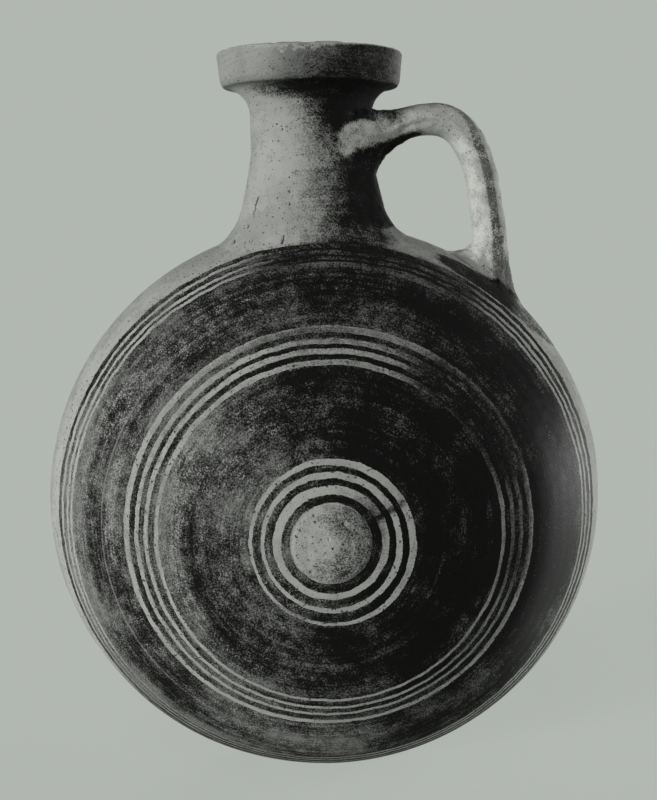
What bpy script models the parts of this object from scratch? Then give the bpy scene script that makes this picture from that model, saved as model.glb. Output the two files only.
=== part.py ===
"""Round pottery jug: a lens-shaped body, a collared neck and one handle, built piece by piece.

The body is two thrown bowls joined rim to rim, so its axis of turning runs front to back (Y).
A clay plug closes the middle of each bowl.  The neck stands in a hole cut through the top of
both bowls, a coil of clay fills the corner round its base, and the handle runs from a wad on
the neck to a wad on the right shoulder.  The jug rests on a small flat underneath, at z = 0.
Heights called "over the shoulder" are measured up from the top of the round body.
"""

import math

import bmesh
import bpy
from mathutils import Matrix, Vector

# Slip layer between two luted pieces
CLEARANCE = 0.0003

# Body: half size across, half size front to back, wall, and the flat it rests on
BODY_RADIUS = 0.115
BODY_HALF_DEPTH = 0.0716
BODY_WALL = 0.0055
REST_FLAT_DEPTH = 0.0025
SEAM_SLANT = 0.0025
SEAM_COIL_HALF_WIDTH = 0.007
SEAM_COIL_THICKNESS = 0.003
SEAM_COIL_EDGE = 0.0007

# Plug in the middle of each bowl: a shallow cone outside, a stem through the wall
BOSS_RADIUS = 0.015
BOSS_RISE = 0.0036
BOSS_TIP_RADIUS = 0.004
BOSS_EDGE = 0.0006
BOSS_STEM_RADIUS = 0.008
BOSS_STEM_PROUD = 0.001

# Neck: its axis stands a little left of the body's, and it leans a little more above the coil
NECK_X = -0.0041
NECK_LEAN = -0.014
NECK_BORE_RADIUS = 0.0195
NECK_WALL = 0.0051
NECK_BASE_SPREAD = 0.0045
NECK_SPREAD_POWER = 1.25
NECK_SPREAD_TOP = 0.028
NECK_SPIGOT_WALL = 0.0035
NECK_SPIGOT_DEPTH = 0.0135

# Collar rim and its cup-shaped mouth
RIM_HEIGHT = 0.0668
RIM_OVERHANG = 0.01245
RIM_BAND_HEIGHT = 0.0113
RIM_BAND_TAPER = 0.0009
RIM_CHAMFER_DROP = 0.0022
RIM_CHAMFER_IN = 0.0011
RIM_UNDERSIDE_DROP = 0.0105
RIM_EDGE_ROUND = 0.0012
RIM_WALL = 0.0058
MOUTH_DEPTH = 0.022
MOUTH_CURVE_POWER = 1.5

# Coil smoothed round the base of the neck; it holds the neck's line by a share of its run
COIL_TOP = 0.0065
COIL_HOLD = 1.3
COIL_SIDE_FLARE = 0.009
COIL_FRONT_FLARE = 0.0042
COIL_EDGE = 0.0006

# Handle: an oval rod on one bend, from the upper wad to the lower wad, whose middle stands
# in from the body's right side by the inset
HANDLE_WIDTH = 0.017
HANDLE_TOP_THICKNESS = 0.0124
HANDLE_FOOT_THICKNESS = 0.0134
HANDLE_START_HEIGHT = 0.0399
HANDLE_START_SLOPE = 15.9
HANDLE_START_PULL = 0.0265
HANDLE_FOOT_INSET = 0.0467
HANDLE_FOOT_SLOPE = 6.2
HANDLE_FOOT_PULL = 0.0282
HANDLE_SECTION_POWER = 2.4
PEG_SHARE = 0.6
PEG_LENGTH = 0.004

# Wads that join the handle to the neck and to the shoulder
UPPER_WAD_LENGTH = 0.0155
UPPER_WAD_HALF_ANGLE = 50.0
UPPER_WAD_RISE = 0.0052
UPPER_WAD_DROP = 0.0205
LOWER_WAD_HEIGHT = 0.016
LOWER_WAD_INNER = 0.0175
LOWER_WAD_OUTER = 0.0155
LOWER_WAD_HALF_WIDTH = 0.0135
WAD_EDGE = 0.0006

# Mesh fineness
BODY_STEPS = 60
NECK_STEPS = 36
SHELL_STEPS = 12
SEAM_COIL_STEPS = 6
BOSS_STEPS = 30
BOSS_RINGS = 5
RIM_EDGE_STEPS = 2
NECK_CURVE_STEPS = 6
COIL_CURVE_STEPS = 7
COIL_SEAT_STEPS = 3
HANDLE_STEPS = 20
HANDLE_SIDES = 20
WAD_STEPS = 5
WAD_BASE_STEPS = 7
# Small step along a curve that gives its direction
NUDGE = 1e-3

# Sizes worked out from the ones above
BODY_Z = BODY_RADIUS - REST_FLAT_DEPTH
SHOULDER_Z = BODY_Z + BODY_RADIUS
NECK_RADIUS = NECK_BORE_RADIUS + NECK_WALL
NECK_BASE_RADIUS = NECK_RADIUS + NECK_BASE_SPREAD
SPIGOT_RADIUS = NECK_BORE_RADIUS + NECK_SPIGOT_WALL
NECK_HOLE_RADIUS = SPIGOT_RADIUS + CLEARANCE
RIM_RADIUS = NECK_RADIUS + RIM_OVERHANG
RIM_Z = SHOULDER_Z + RIM_HEIGHT
RIM_BAND_Z = RIM_Z - RIM_BAND_HEIGHT
RIM_BAND_RADIUS = RIM_RADIUS - RIM_BAND_TAPER
RIM_CHAMFER_Z = RIM_BAND_Z - RIM_CHAMFER_DROP
RIM_CHAMFER_RADIUS = RIM_BAND_RADIUS - RIM_CHAMFER_IN
UNDERSIDE_FOOT_Z = RIM_CHAMFER_Z - RIM_UNDERSIDE_DROP
MOUTH_RADIUS = RIM_RADIUS - RIM_WALL
HANDLE_FOOT_X = BODY_RADIUS - HANDLE_FOOT_INSET

PALE_CLAY = (0.36, 0.37, 0.35, 1.0)
WASHED_CLAY = (0.24, 0.25, 0.23, 1.0)
DARK_PAINT = (0.045, 0.046, 0.042, 1.0)
RAW_CLAY = (0.28, 0.28, 0.26, 1.0)

Y_AXIS = Vector((0.0, 1.0, 0.0))
Z_AXIS = Vector((0.0, 0.0, 1.0))


def clear_scene():
    for obj in list(bpy.data.objects):
        bpy.data.objects.remove(obj, do_unlink=True)


def fired_clay(name, colour, roughness):
    """A matt pottery material of one colour."""
    material = bpy.data.materials.new(name)
    material.use_nodes = True
    shader = material.node_tree.nodes["Principled BSDF"]
    shader.inputs["Base Color"].default_value = colour
    shader.inputs["Roughness"].default_value = roughness
    shader.inputs["Metallic"].default_value = 0.0
    material.diffuse_color = colour
    return material


def finished_object(name, bm, material=None):
    """Turns a bmesh into a smooth-shaded object with its faces pointing out."""
    bmesh.ops.remove_doubles(bm, verts=bm.verts, dist=1e-6)
    bmesh.ops.recalc_face_normals(bm, faces=bm.faces)
    mesh = bpy.data.meshes.new(name)
    bm.to_mesh(mesh)
    bm.free()
    mesh.shade_smooth()
    mesh.set_sharp_from_angle(angle=math.radians(40.0))
    obj = bpy.data.objects.new(name, mesh)
    bpy.context.scene.collection.objects.link(obj)
    if material:
        mesh.materials.append(material)
    return obj


def turned(points, axis, centre, steps):
    """Spins a closed outline of points about an axis through centre."""
    bm = bmesh.new()
    outline = [bm.verts.new(point) for point in points]
    edges = [bm.edges.new(pair) for pair in zip(outline, outline[1:] + outline[:1])]
    bmesh.ops.spin(bm, geom=outline + edges, cent=centre, axis=axis,
                   angle=2.0 * math.pi, steps=steps, use_merge=True)
    return bm


def body_turned(name, outline, steps, material=None, side=1.0):
    """Spins (radius, depth) points about the body's axis; side -1 puts them to the front."""
    points = [Vector((radius, side * depth, BODY_Z)) for radius, depth in outline]
    bm = turned(points, Y_AXIS, Vector((0.0, 0.0, BODY_Z)), steps)
    return finished_object(name, bm, material)


def shares(count):
    """Even shares from 0 to 1, both ends among them."""
    return [i / count for i in range(count + 1)]


def lofted(loops, closed=False):
    """Skins loops that all have the same number of points.

    A closed skin joins the last loop to the first; an open one gets a cap at each end.
    """
    bm = bmesh.new()
    rows = [[bm.verts.new(point) for point in loop] for loop in loops]
    following = rows[1:] + rows[:1] if closed else rows[1:]
    for row, after in zip(rows, following):
        for i in range(len(row)):
            j = (i + 1) % len(row)
            bm.faces.new((row[i], row[j], after[j], after[i]))
    if not closed:
        bm.faces.new(rows[0])
        bm.faces.new(rows[-1])
    return bm


def as_cutter(obj):
    obj.hide_render = True
    obj.display_type = 'WIRE'
    return obj


def cut(obj, cutter):
    """Takes the cutter's volume out of an object."""
    modifier = obj.modifiers.new("cut_" + cutter.name, 'BOOLEAN')
    modifier.operation = 'DIFFERENCE'
    modifier.solver = 'EXACT'
    modifier.object = cutter


def body_height(x, y, grow=CLEARANCE):
    """Height of the round body's surface at (x, y), grown outwards by a gap."""
    across = x / (BODY_RADIUS + grow)
    deep = y / (BODY_HALF_DEPTH + grow)
    return BODY_Z + (BODY_RADIUS + grow) * math.sqrt(1.0 - across ** 2 - deep ** 2)


def shell_point(angle, inset=0.0):
    """Point (radius, depth) of the body's half-oval at an angle from the middle seam."""
    radius = (BODY_RADIUS - inset) * math.cos(angle)
    depth = (BODY_HALF_DEPTH - inset) * math.sin(angle)
    return radius, depth


def shell_outline(hole_radius, inset, seam_depth):
    """Half-oval from the seam to the middle hole, as (radius, depth) points."""
    start = math.asin(seam_depth / (BODY_HALF_DEPTH - inset))
    end = math.acos(hole_radius / (BODY_RADIUS - inset))
    return [shell_point(start + (end - start) * share, inset) for share in shares(SHELL_STEPS)]


def bowl(name, side, seam_shift, material):
    """One thrown bowl: a half-oval wall with a bevelled rim and a hole in the middle."""
    hole = BOSS_STEM_RADIUS + CLEARANCE
    outer = shell_outline(hole, 0.0, SEAM_SLANT * -side + seam_shift)
    inner = shell_outline(hole, BODY_WALL, SEAM_SLANT * side + seam_shift)
    return body_turned(name, outer + inner[::-1], BODY_STEPS, material, side)


def seam_gap():
    """Shift of a bowl along Y that opens the bevelled seam by the clearance."""
    bevel = math.hypot(BODY_WALL, 2.0 * SEAM_SLANT)
    return CLEARANCE * bevel / BODY_WALL


def inner_wall_radius(depth):
    """Radius of the bowls' faceted inner wall at a distance from the seam."""
    outline = shell_outline(BOSS_STEM_RADIUS + CLEARANCE, BODY_WALL, SEAM_SLANT)
    points = [(BODY_RADIUS - BODY_WALL, 0.0)] + outline
    for (r0, d0), (r1, d1) in zip(points, points[1:]):
        if d0 <= abs(depth) <= d1:
            return r0 + (r1 - r0) * (abs(depth) - d0) / (d1 - d0)
    raise ValueError("the seam coil is wider than the body")


def seam_coil(material):
    """Ridge of clay pressed over the inside of the seam, with a rounded crest."""
    against_wall = []
    crest = []
    for share in shares(SEAM_COIL_STEPS):
        depth = SEAM_COIL_HALF_WIDTH * (2.0 * share - 1.0)
        radius = inner_wall_radius(depth) - 2.0 * CLEARANCE
        height = SEAM_COIL_EDGE + (SEAM_COIL_THICKNESS - SEAM_COIL_EDGE) * math.sin(math.pi * share)
        against_wall.append((radius, depth))
        crest.append((radius - height, depth))
    return body_turned("seam_coil", against_wall + crest[::-1], BODY_STEPS, material)


def boss(name, side, material):
    """Plug that closes a bowl: a shallow cone outside, its tip rounded, and a stem."""
    rim_angle = math.acos(BOSS_RADIUS / BODY_RADIUS)
    seat = shell_point(rim_angle)[1] + CLEARANCE
    edge = seat + BOSS_EDGE
    tip = BODY_HALF_DEPTH + BOSS_RISE
    stem_end = BODY_HALF_DEPTH - BODY_WALL - BOSS_STEM_PROUD
    slope = (tip - edge) / (math.hypot(BOSS_RADIUS, BOSS_TIP_RADIUS) - BOSS_TIP_RADIUS)
    outline = []
    for share in shares(BOSS_RINGS):
        radius = BOSS_RADIUS * share
        outline.append((radius, tip - slope * (math.hypot(radius, BOSS_TIP_RADIUS) - BOSS_TIP_RADIUS)))
    outline.append((BOSS_RADIUS, seat))
    outline.append((BOSS_STEM_RADIUS, BODY_HALF_DEPTH + CLEARANCE))
    outline.append((BOSS_STEM_RADIUS, stem_end))
    outline.append((0.0, stem_end))
    return body_turned(name, outline, BOSS_STEPS, material, side)


def floor_cutter():
    """Block under z = 0 that leaves the body its resting flat."""
    bm = bmesh.new()
    under = Matrix.Translation((0.0, 0.0, -BODY_RADIUS / 2.0))
    bmesh.ops.create_cube(bm, size=BODY_RADIUS, matrix=under)
    return as_cutter(finished_object("floor_cutter", bm))


def upright_cylinder(name, radius):
    """Cylinder on the neck's axis from the middle of the body up past the shoulder."""
    outline = [(0.0, BODY_Z), (radius, BODY_Z), (radius, RIM_Z), (0.0, RIM_Z)]
    points = [Vector((NECK_X + r, 0.0, z)) for r, z in outline]
    centre = Vector((NECK_X, 0.0, 0.0))
    return as_cutter(finished_object(name, turned(points, Z_AXIS, centre, NECK_STEPS)))


def shoulder_cutter(hole_cutter):
    """The body grown by the clearance, with a hole left for the neck's spigot."""
    half = shell_outline(BOSS_STEM_RADIUS, -CLEARANCE, SEAM_SLANT)
    half.append((0.0, BODY_HALF_DEPTH + CLEARANCE))
    outline = [(radius, -depth) for radius, depth in half[::-1]] + half
    cutter = as_cutter(body_turned("shoulder_cutter", outline, BODY_STEPS))
    cut(cutter, hole_cutter)
    return cutter


def underside_radius(z):
    """Outer radius under the collar, a hollow quarter oval from the neck to the chamfer."""
    rise = min((z - UNDERSIDE_FOOT_Z) / RIM_UNDERSIDE_DROP, 1.0)
    return NECK_RADIUS + (RIM_CHAMFER_RADIUS - NECK_RADIUS) * (1.0 - math.sqrt(1.0 - rise ** 2))


def neck_radius(z):
    """Outer radius of the neck: straight under the collar, spreading down to the coil."""
    if z > UNDERSIDE_FOOT_Z:
        return underside_radius(z)
    over = z - SHOULDER_Z
    share = (NECK_SPREAD_TOP - over) / (NECK_SPREAD_TOP - COIL_TOP)
    share = min(max(share, 0.0), 1.0)
    return NECK_RADIUS + NECK_BASE_SPREAD * share ** NECK_SPREAD_POWER


def leaned(z):
    """X of the neck's axis at a height: upright in the coil, leaning above it."""
    return NECK_X + NECK_LEAN * max(0.0, z - SHOULDER_Z - COIL_TOP)


def mouth_point(share):
    """Point (radius, z) of the funnel mouth, a quarter oval from the bore to the lip."""
    turn = math.pi / 2.0 * share
    radius = NECK_BORE_RADIUS + (MOUTH_RADIUS - NECK_BORE_RADIUS) * math.sin(turn)
    drop = RIM_EDGE_ROUND + (MOUTH_DEPTH - RIM_EDGE_ROUND) * math.cos(turn) ** MOUTH_CURVE_POWER
    return radius, RIM_Z - drop


def rim_edge_point(share):
    """Point (radius, z) of the collar's rounded top edge, from the flat lip outwards."""
    turn = math.pi / 2.0 * share
    radius = RIM_RADIUS - RIM_EDGE_ROUND * (1.0 - math.sin(turn))
    return radius, RIM_Z - RIM_EDGE_ROUND * (1.0 - math.cos(turn))


def neck_outline():
    """Closed outline of the neck and collar as (radius, z): down outside, up the bore."""
    foot_z = SHOULDER_Z - NECK_SPIGOT_DEPTH
    outline = [rim_edge_point(share) for share in shares(RIM_EDGE_STEPS)]
    outline.append((RIM_BAND_RADIUS, RIM_BAND_Z))
    for share in shares(NECK_CURVE_STEPS):
        z = UNDERSIDE_FOOT_Z + RIM_UNDERSIDE_DROP * math.cos(math.pi / 2.0 * share)
        outline.append((underside_radius(z), z))
    for share in shares(NECK_CURVE_STEPS):
        z = SHOULDER_Z + NECK_SPREAD_TOP + (COIL_TOP - NECK_SPREAD_TOP) * share
        outline.append((neck_radius(z), z))
    outline.append((NECK_BASE_RADIUS, foot_z))
    outline.append((NECK_BORE_RADIUS, foot_z))
    outline += [mouth_point(share) for share in shares(NECK_CURVE_STEPS)]
    outline.append((MOUTH_RADIUS + RIM_EDGE_ROUND, RIM_Z))
    return outline


def neck(material):
    """Thrown neck with its collar, in one piece, standing on a saddle with a spigot."""
    points = [Vector((NECK_X + radius, 0.0, z)) for radius, z in neck_outline()]
    bm = turned(points, Z_AXIS, Vector((NECK_X, 0.0, 0.0)), NECK_STEPS)
    for vert in bm.verts:
        vert.co.x += leaned(vert.co.z) - NECK_X
    return finished_object("neck", bm, material)


def around_neck(angle, radius, z):
    """Point at an angle from +X round the neck's axis."""
    return Vector((leaned(z) + radius * math.cos(angle), radius * math.sin(angle), z))


def on_shoulder(angle, radius, lift):
    """Point round the neck's axis that lies over the shoulder by a lift."""
    x = NECK_X + radius * math.cos(angle)
    y = radius * math.sin(angle)
    return Vector((x, y, body_height(x, y) + lift))


def hermite(start, start_pull, end, end_pull, share):
    """Cubic curve from start to end with a pull at each end."""
    s2 = share * share
    s3 = s2 * share
    return (start * (2.0 * s3 - 3.0 * s2 + 1.0) + start_pull * (s3 - 2.0 * s2 + share)
            + end * (3.0 * s2 - 2.0 * s3) + end_pull * (s3 - s2))


def coil_section(angle):
    """Closed section of the base coil in the upright plane at an angle round the neck."""
    hug = NECK_BASE_RADIUS + CLEARANCE
    side_reach = hug + COIL_EDGE + COIL_SIDE_FLARE
    front_reach = hug + COIL_EDGE + COIL_FRONT_FLARE
    reach = 1.0 / math.hypot(math.cos(angle) / side_reach, math.sin(angle) / front_reach)
    top_z = SHOULDER_Z + COIL_TOP
    foot = on_shoulder(angle, reach, COIL_EDGE)
    inward = on_shoulder(angle, reach - COIL_EDGE, COIL_EDGE)
    shoulder_run = (foot - inward).normalized()
    top = around_neck(angle, hug + COIL_EDGE, top_z)
    bend = (foot - top).length
    section = [hermite(top, -Z_AXIS * bend * COIL_HOLD, foot, shoulder_run * bend, share)
               for share in shares(COIL_CURVE_STEPS)]
    section += [on_shoulder(angle, reach + (hug - reach) * share, 0.0)
                for share in shares(COIL_SEAT_STEPS)]
    section.append(around_neck(angle, hug, top_z))
    return section


def neck_base_coil(material):
    """Coil of clay that fills the corner between neck and shoulder, wide at the sides."""
    angles = [2.0 * math.pi * i / NECK_STEPS for i in range(NECK_STEPS)]
    sections = [coil_section(angle) for angle in angles]
    return finished_object("neck_base_coil", lofted(sections, closed=True), material)


def handle_ends():
    """Start and end of the handle's centre line, with the pull of the curve at each."""
    start_z = SHOULDER_Z + HANDLE_START_HEIGHT
    start_x = leaned(start_z) + neck_radius(start_z) + UPPER_WAD_LENGTH
    slope = math.radians(HANDLE_START_SLOPE)
    start = Vector((start_x, 0.0, start_z))
    start_pull = Vector((math.cos(slope), 0.0, math.sin(slope))) * 3.0 * HANDLE_START_PULL
    lean = math.radians(HANDLE_FOOT_SLOPE)
    end = Vector((HANDLE_FOOT_X, 0.0, body_height(HANDLE_FOOT_X, 0.0) + LOWER_WAD_HEIGHT))
    end_pull = Vector((math.sin(lean), 0.0, -math.cos(lean))) * 3.0 * HANDLE_FOOT_PULL
    return start, start_pull, end, end_pull


def rod_section(centre, along, thickness, scale=1.0):
    """Rounded-oval loop square to the rod, which runs along; angle 0 is its outer side."""
    outward = Vector((-along.z, 0.0, along.x))
    loop = []
    for i in range(HANDLE_SIDES):
        angle = 2.0 * math.pi * i / HANDLE_SIDES
        c, s = math.cos(angle), math.sin(angle)
        round_off = (abs(c) ** HANDLE_SECTION_POWER + abs(s) ** HANDLE_SECTION_POWER)
        radius = scale * round_off ** (-1.0 / HANDLE_SECTION_POWER)
        loop.append(centre + outward * (radius * c * thickness / 2.0)
                    + Y_AXIS * (radius * s * HANDLE_WIDTH / 2.0))
    return loop


def handle(material):
    """Pulled oval rod on one bend, with a short peg at each end."""
    start, start_pull, end, end_pull = handle_ends()
    along_start = start_pull.normalized()
    along_end = end_pull.normalized()
    loops = [rod_section(start - along_start * PEG_LENGTH, along_start, HANDLE_TOP_THICKNESS, PEG_SHARE),
             rod_section(start, along_start, HANDLE_TOP_THICKNESS, PEG_SHARE)]
    for share in shares(HANDLE_STEPS):
        centre = hermite(start, start_pull, end, end_pull, share)
        ahead = hermite(start, start_pull, end, end_pull, share + NUDGE)
        behind = hermite(start, start_pull, end, end_pull, share - NUDGE)
        thickness = HANDLE_TOP_THICKNESS + (HANDLE_FOOT_THICKNESS - HANDLE_TOP_THICKNESS) * share
        loops.append(rod_section(centre, (ahead - behind).normalized(), thickness))
    loops.append(rod_section(end, along_end, HANDLE_FOOT_THICKNESS, PEG_SHARE))
    loops.append(rod_section(end + along_end * PEG_LENGTH, along_end, HANDLE_FOOT_THICKNESS, PEG_SHARE))
    return finished_object("handle", lofted(loops), material)


def wad(name, centre, along, way, thickness, foot, material):
    """Lump of clay from a rod's end down to a foot spread on a wall.

    The rod runs along, and the wall lies that way (1) or behind it (-1).  The foot is a
    function of an angle, a share of its spread and a lift off the wall.  The rod's end is
    taken in a socket that clears its peg.
    """
    into = along * way
    face = centre + into * CLEARANCE
    socket = PEG_SHARE + 2.0 * CLEARANCE / HANDLE_TOP_THICKNESS
    bottom = face + into * (PEG_LENGTH + CLEARANCE)
    loops = [rod_section(bottom, along, thickness, socket), rod_section(face, along, thickness, socket)]
    rim = rod_section(face, along, thickness)
    angles = [2.0 * math.pi * i / HANDLE_SIDES for i in range(HANDLE_SIDES)]
    for share in shares(WAD_STEPS):
        loop = []
        for point, angle in zip(rim, angles):
            outer = foot(angle, 1.0, WAD_EDGE)
            spread = (outer - foot(angle, 1.0 - NUDGE, WAD_EDGE)).normalized()
            bend = (outer - point).length
            loop.append(hermite(point, into * bend, outer, spread * bend, share))
        loops.append(loop)
    for step in range(WAD_BASE_STEPS):
        share = 1.0 - step / WAD_BASE_STEPS
        loops.append([foot(angle, share, 0.0) for angle in angles])
    return finished_object(name, lofted(loops), material)


def upper_wad_foot(angle, share, lift):
    """Spread of the upper wad round the neck, on the neck's own surface."""
    height = UPPER_WAD_RISE if math.cos(angle) > 0.0 else UPPER_WAD_DROP
    z = SHOULDER_Z + HANDLE_START_HEIGHT + height * share * math.cos(angle)
    turn = math.radians(UPPER_WAD_HALF_ANGLE) * share * math.sin(angle)
    return around_neck(turn, neck_radius(z) + CLEARANCE + lift, z)


def lower_wad_foot(angle, share, lift):
    """Spread of the lower wad on the shoulder: outer side at angle 0."""
    reach = LOWER_WAD_OUTER if math.cos(angle) > 0.0 else LOWER_WAD_INNER
    x = HANDLE_FOOT_X + reach * share * math.cos(angle)
    y = LOWER_WAD_HALF_WIDTH * share * math.sin(angle)
    across = x / BODY_RADIUS ** 2
    deep = y / BODY_HALF_DEPTH ** 2
    upright = (body_height(x, y) - BODY_Z) / BODY_RADIUS ** 2
    normal = Vector((across, deep, upright)).normalized()
    return Vector((x, y, body_height(x, y))) + normal * lift


def build():
    clear_scene()
    paint = fired_clay("dark_painted_clay", DARK_PAINT, 0.62)
    pale = fired_clay("pale_clay", PALE_CLAY, 0.8)
    washed = fired_clay("washed_clay", WASHED_CLAY, 0.75)
    raw = fired_clay("raw_clay", RAW_CLAY, 0.85)

    under = floor_cutter()
    hole = upright_cylinder("neck_hole_cutter", NECK_HOLE_RADIUS)
    spigot_space = upright_cylinder("spigot_cutter", SPIGOT_RADIUS)
    shoulder = shoulder_cutter(spigot_space)

    front = bowl("front_bowl", -1.0, 0.0, paint)
    back = bowl("back_bowl", 1.0, seam_gap(), paint)
    coil = seam_coil(raw)
    for piece in (front, back):
        cut(piece, under)
        cut(piece, hole)
    cut(coil, hole)

    boss("front_boss", -1.0, pale)
    boss("back_boss", 1.0, pale)

    tube = neck(washed)
    cut(tube, shoulder)
    neck_base_coil(pale)

    handle(pale)
    start, start_pull, end, end_pull = handle_ends()
    wad("handle_upper_wad", start, start_pull.normalized(), -1.0, HANDLE_TOP_THICKNESS,
        upper_wad_foot, pale)
    wad("handle_lower_wad", end, end_pull.normalized(), 1.0, HANDLE_FOOT_THICKNESS,
        lower_wad_foot, pale)


build()
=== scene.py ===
"""Looks of the round jug: fine clay surfaces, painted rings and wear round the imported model.

The body's axis runs front to back (Y), its painted front faces -Y, the handle is on the +X
side and the jug stands at z = 0.  A mark on the body is placed by its angle round the body's
axis (0 towards the handle's side, 90 at the top) and by its distance from that axis.
"""

import math

import bpy
import numpy as np
from mathutils import Matrix, Vector


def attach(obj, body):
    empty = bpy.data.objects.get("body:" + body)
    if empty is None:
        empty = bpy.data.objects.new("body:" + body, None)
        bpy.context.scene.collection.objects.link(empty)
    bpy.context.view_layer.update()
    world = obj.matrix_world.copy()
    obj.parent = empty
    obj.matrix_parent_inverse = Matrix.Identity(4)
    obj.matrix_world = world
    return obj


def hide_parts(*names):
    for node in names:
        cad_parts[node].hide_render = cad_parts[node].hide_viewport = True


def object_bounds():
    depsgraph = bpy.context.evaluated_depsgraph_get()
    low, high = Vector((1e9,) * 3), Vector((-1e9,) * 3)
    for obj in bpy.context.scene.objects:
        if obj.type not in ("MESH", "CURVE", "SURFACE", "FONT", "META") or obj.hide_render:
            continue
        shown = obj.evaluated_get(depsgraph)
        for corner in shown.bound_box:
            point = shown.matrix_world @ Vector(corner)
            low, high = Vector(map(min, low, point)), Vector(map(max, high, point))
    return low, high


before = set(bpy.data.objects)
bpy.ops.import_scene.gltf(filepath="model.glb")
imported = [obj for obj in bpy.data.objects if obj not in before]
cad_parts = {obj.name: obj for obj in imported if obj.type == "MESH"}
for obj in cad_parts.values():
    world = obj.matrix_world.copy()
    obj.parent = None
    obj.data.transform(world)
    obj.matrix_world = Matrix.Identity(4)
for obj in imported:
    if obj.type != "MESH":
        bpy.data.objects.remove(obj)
cad_low, cad_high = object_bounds()

# Sizes of the pieces, as the model has them
CLEARANCE = 0.0003
BODY_RADIUS = float(cad_high.x)
BODY_HALF_DEPTH = 0.0716
BODY_WALL = 0.0055
REST_FLAT_DEPTH = 0.0025
SEAM_SLANT = 0.0025
SEAM_COIL_HALF_WIDTH = 0.007
SEAM_COIL_THICKNESS = 0.003
SEAM_COIL_GAP = 0.0008
SEAM_COIL_EDGE = 0.0006
BOSS_RADIUS = 0.015
BOSS_RISE = 0.0036
BOSS_EDGE = 0.0006
BOSS_STEM_RADIUS = 0.008
BOSS_STEM_PROUD = 0.001
NECK_X = -0.0041
NECK_LEAN = -0.014
NECK_BORE_RADIUS = 0.0195
NECK_WALL = 0.0051
NECK_BASE_SPREAD = 0.0045
NECK_SPREAD_POWER = 1.25
NECK_SPREAD_TOP = 0.028
NECK_SPIGOT_WALL = 0.0035
NECK_SPIGOT_DEPTH = 0.0135
RIM_OVERHANG = 0.01245
RIM_BAND_HEIGHT = 0.0113
RIM_BAND_TAPER = 0.0009
RIM_CHAMFER_DROP = 0.0022
RIM_CHAMFER_IN = 0.0011
RIM_UNDERSIDE_DROP = 0.0105
RIM_EDGE_ROUND = 0.0012
RIM_WALL = 0.0058
MOUTH_DEPTH = 0.022
MOUTH_CURVE_POWER = 1.5
COIL_TOP = 0.0065
COIL_HOLD = 1.5
COIL_SIDE_FLARE = 0.009
COIL_FRONT_FLARE = 0.0042
HANDLE_WIDTH = 0.017
HANDLE_TOP_THICKNESS = 0.0124
HANDLE_FOOT_THICKNESS = 0.0134
HANDLE_START_HEIGHT = 0.0399
HANDLE_START_SLOPE = 15.9
HANDLE_START_PULL = 0.0265
HANDLE_FOOT_INSET = 0.0467
HANDLE_FOOT_SLOPE = 6.2
HANDLE_FOOT_PULL = 0.0282
HANDLE_SECTION_POWER = 2.4
UPPER_WAD_LENGTH = 0.0155
LOWER_WAD_HEIGHT = 0.016
LOWER_WAD_INNER = 0.0175
LOWER_WAD_OUTER = 0.0155
LOWER_WAD_HALF_WIDTH = 0.0135

# Sizes worked out from the ones above
BODY_Z = BODY_RADIUS - REST_FLAT_DEPTH
SHOULDER_Z = BODY_Z + BODY_RADIUS
NECK_RADIUS = NECK_BORE_RADIUS + NECK_WALL
NECK_BASE_RADIUS = NECK_RADIUS + NECK_BASE_SPREAD
SPIGOT_RADIUS = NECK_BORE_RADIUS + NECK_SPIGOT_WALL
RIM_Z = float(cad_high.z)
RIM_RADIUS = NECK_RADIUS + RIM_OVERHANG
RIM_BAND_Z = RIM_Z - RIM_BAND_HEIGHT
RIM_BAND_RADIUS = RIM_RADIUS - RIM_BAND_TAPER
RIM_CHAMFER_Z = RIM_BAND_Z - RIM_CHAMFER_DROP
RIM_CHAMFER_RADIUS = RIM_BAND_RADIUS - RIM_CHAMFER_IN
UNDERSIDE_FOOT_Z = RIM_CHAMFER_Z - RIM_UNDERSIDE_DROP
MOUTH_RADIUS = RIM_RADIUS - RIM_WALL
HANDLE_FOOT_X = BODY_RADIUS - HANDLE_FOOT_INSET

# How the smoothed joints run out: a thin feather of clay that ends just under its neighbour;
# the handle runs on into its wads by a share of its length
SINK = 0.00045
COIL_FEATHER_UP = 0.005
COIL_FEATHER_OUT = 0.004
COIL_BASE_DEPTH = 0.0006
BOSS_FEATHER = 0.0028
BOSS_EDGE_OUT = 0.001
BOSS_BACK_IN = 0.0012
BOSS_STEM_IN = 0.0005
BOSS_TIP_RADIUS = 0.0018
HANDLE_OVERRUN = 0.02
WAD_FEATHER = 0.007
WAD_BASE_DEPTH = 0.0006
UPPER_WAD_HALF_ANGLE = 80.0
UPPER_WAD_RISE = 0.0062
UPPER_WAD_DROP = 0.0245

# Mesh fineness
BODY_STEPS = 512
BODY_ROWS = 120
WALL_ROWS = 20
NECK_STEPS = 460
HANDLE_ROWS = 200
HANDLE_SIDES = 160
WAD_ROWS = 44
WAD_LEAD_ROWS = 10
COIL_STEPS = 360
COIL_ROWS = 56
BOSS_STEPS = 240
BOSS_ROWS = 64
SEAM_COIL_STEPS = 240
SEAM_COIL_ROWS = 13
HOLE_STEPS = 96
NUDGE = 1e-3
POLE_RADIUS = 0.0001

# Painted rings: the pale bands left between the dark paint, as (inner, outer) distances
PALE_BANDS = (
    (0.0, 0.0151), (0.0183, 0.0213), (0.0244, 0.0261), (0.02915, 0.0312),
    (0.0641, 0.0656), (0.0682, 0.0695), (0.0717, 0.0732), (0.0755, 0.0772),
    (0.1002, 0.1013), (0.1025, 0.1035), (0.1047, 0.1059))
PALE_BEYOND = 0.1070
RING_SPAN = 0.125
EDGE_WORTH = 1.0 / 30.0

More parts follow.
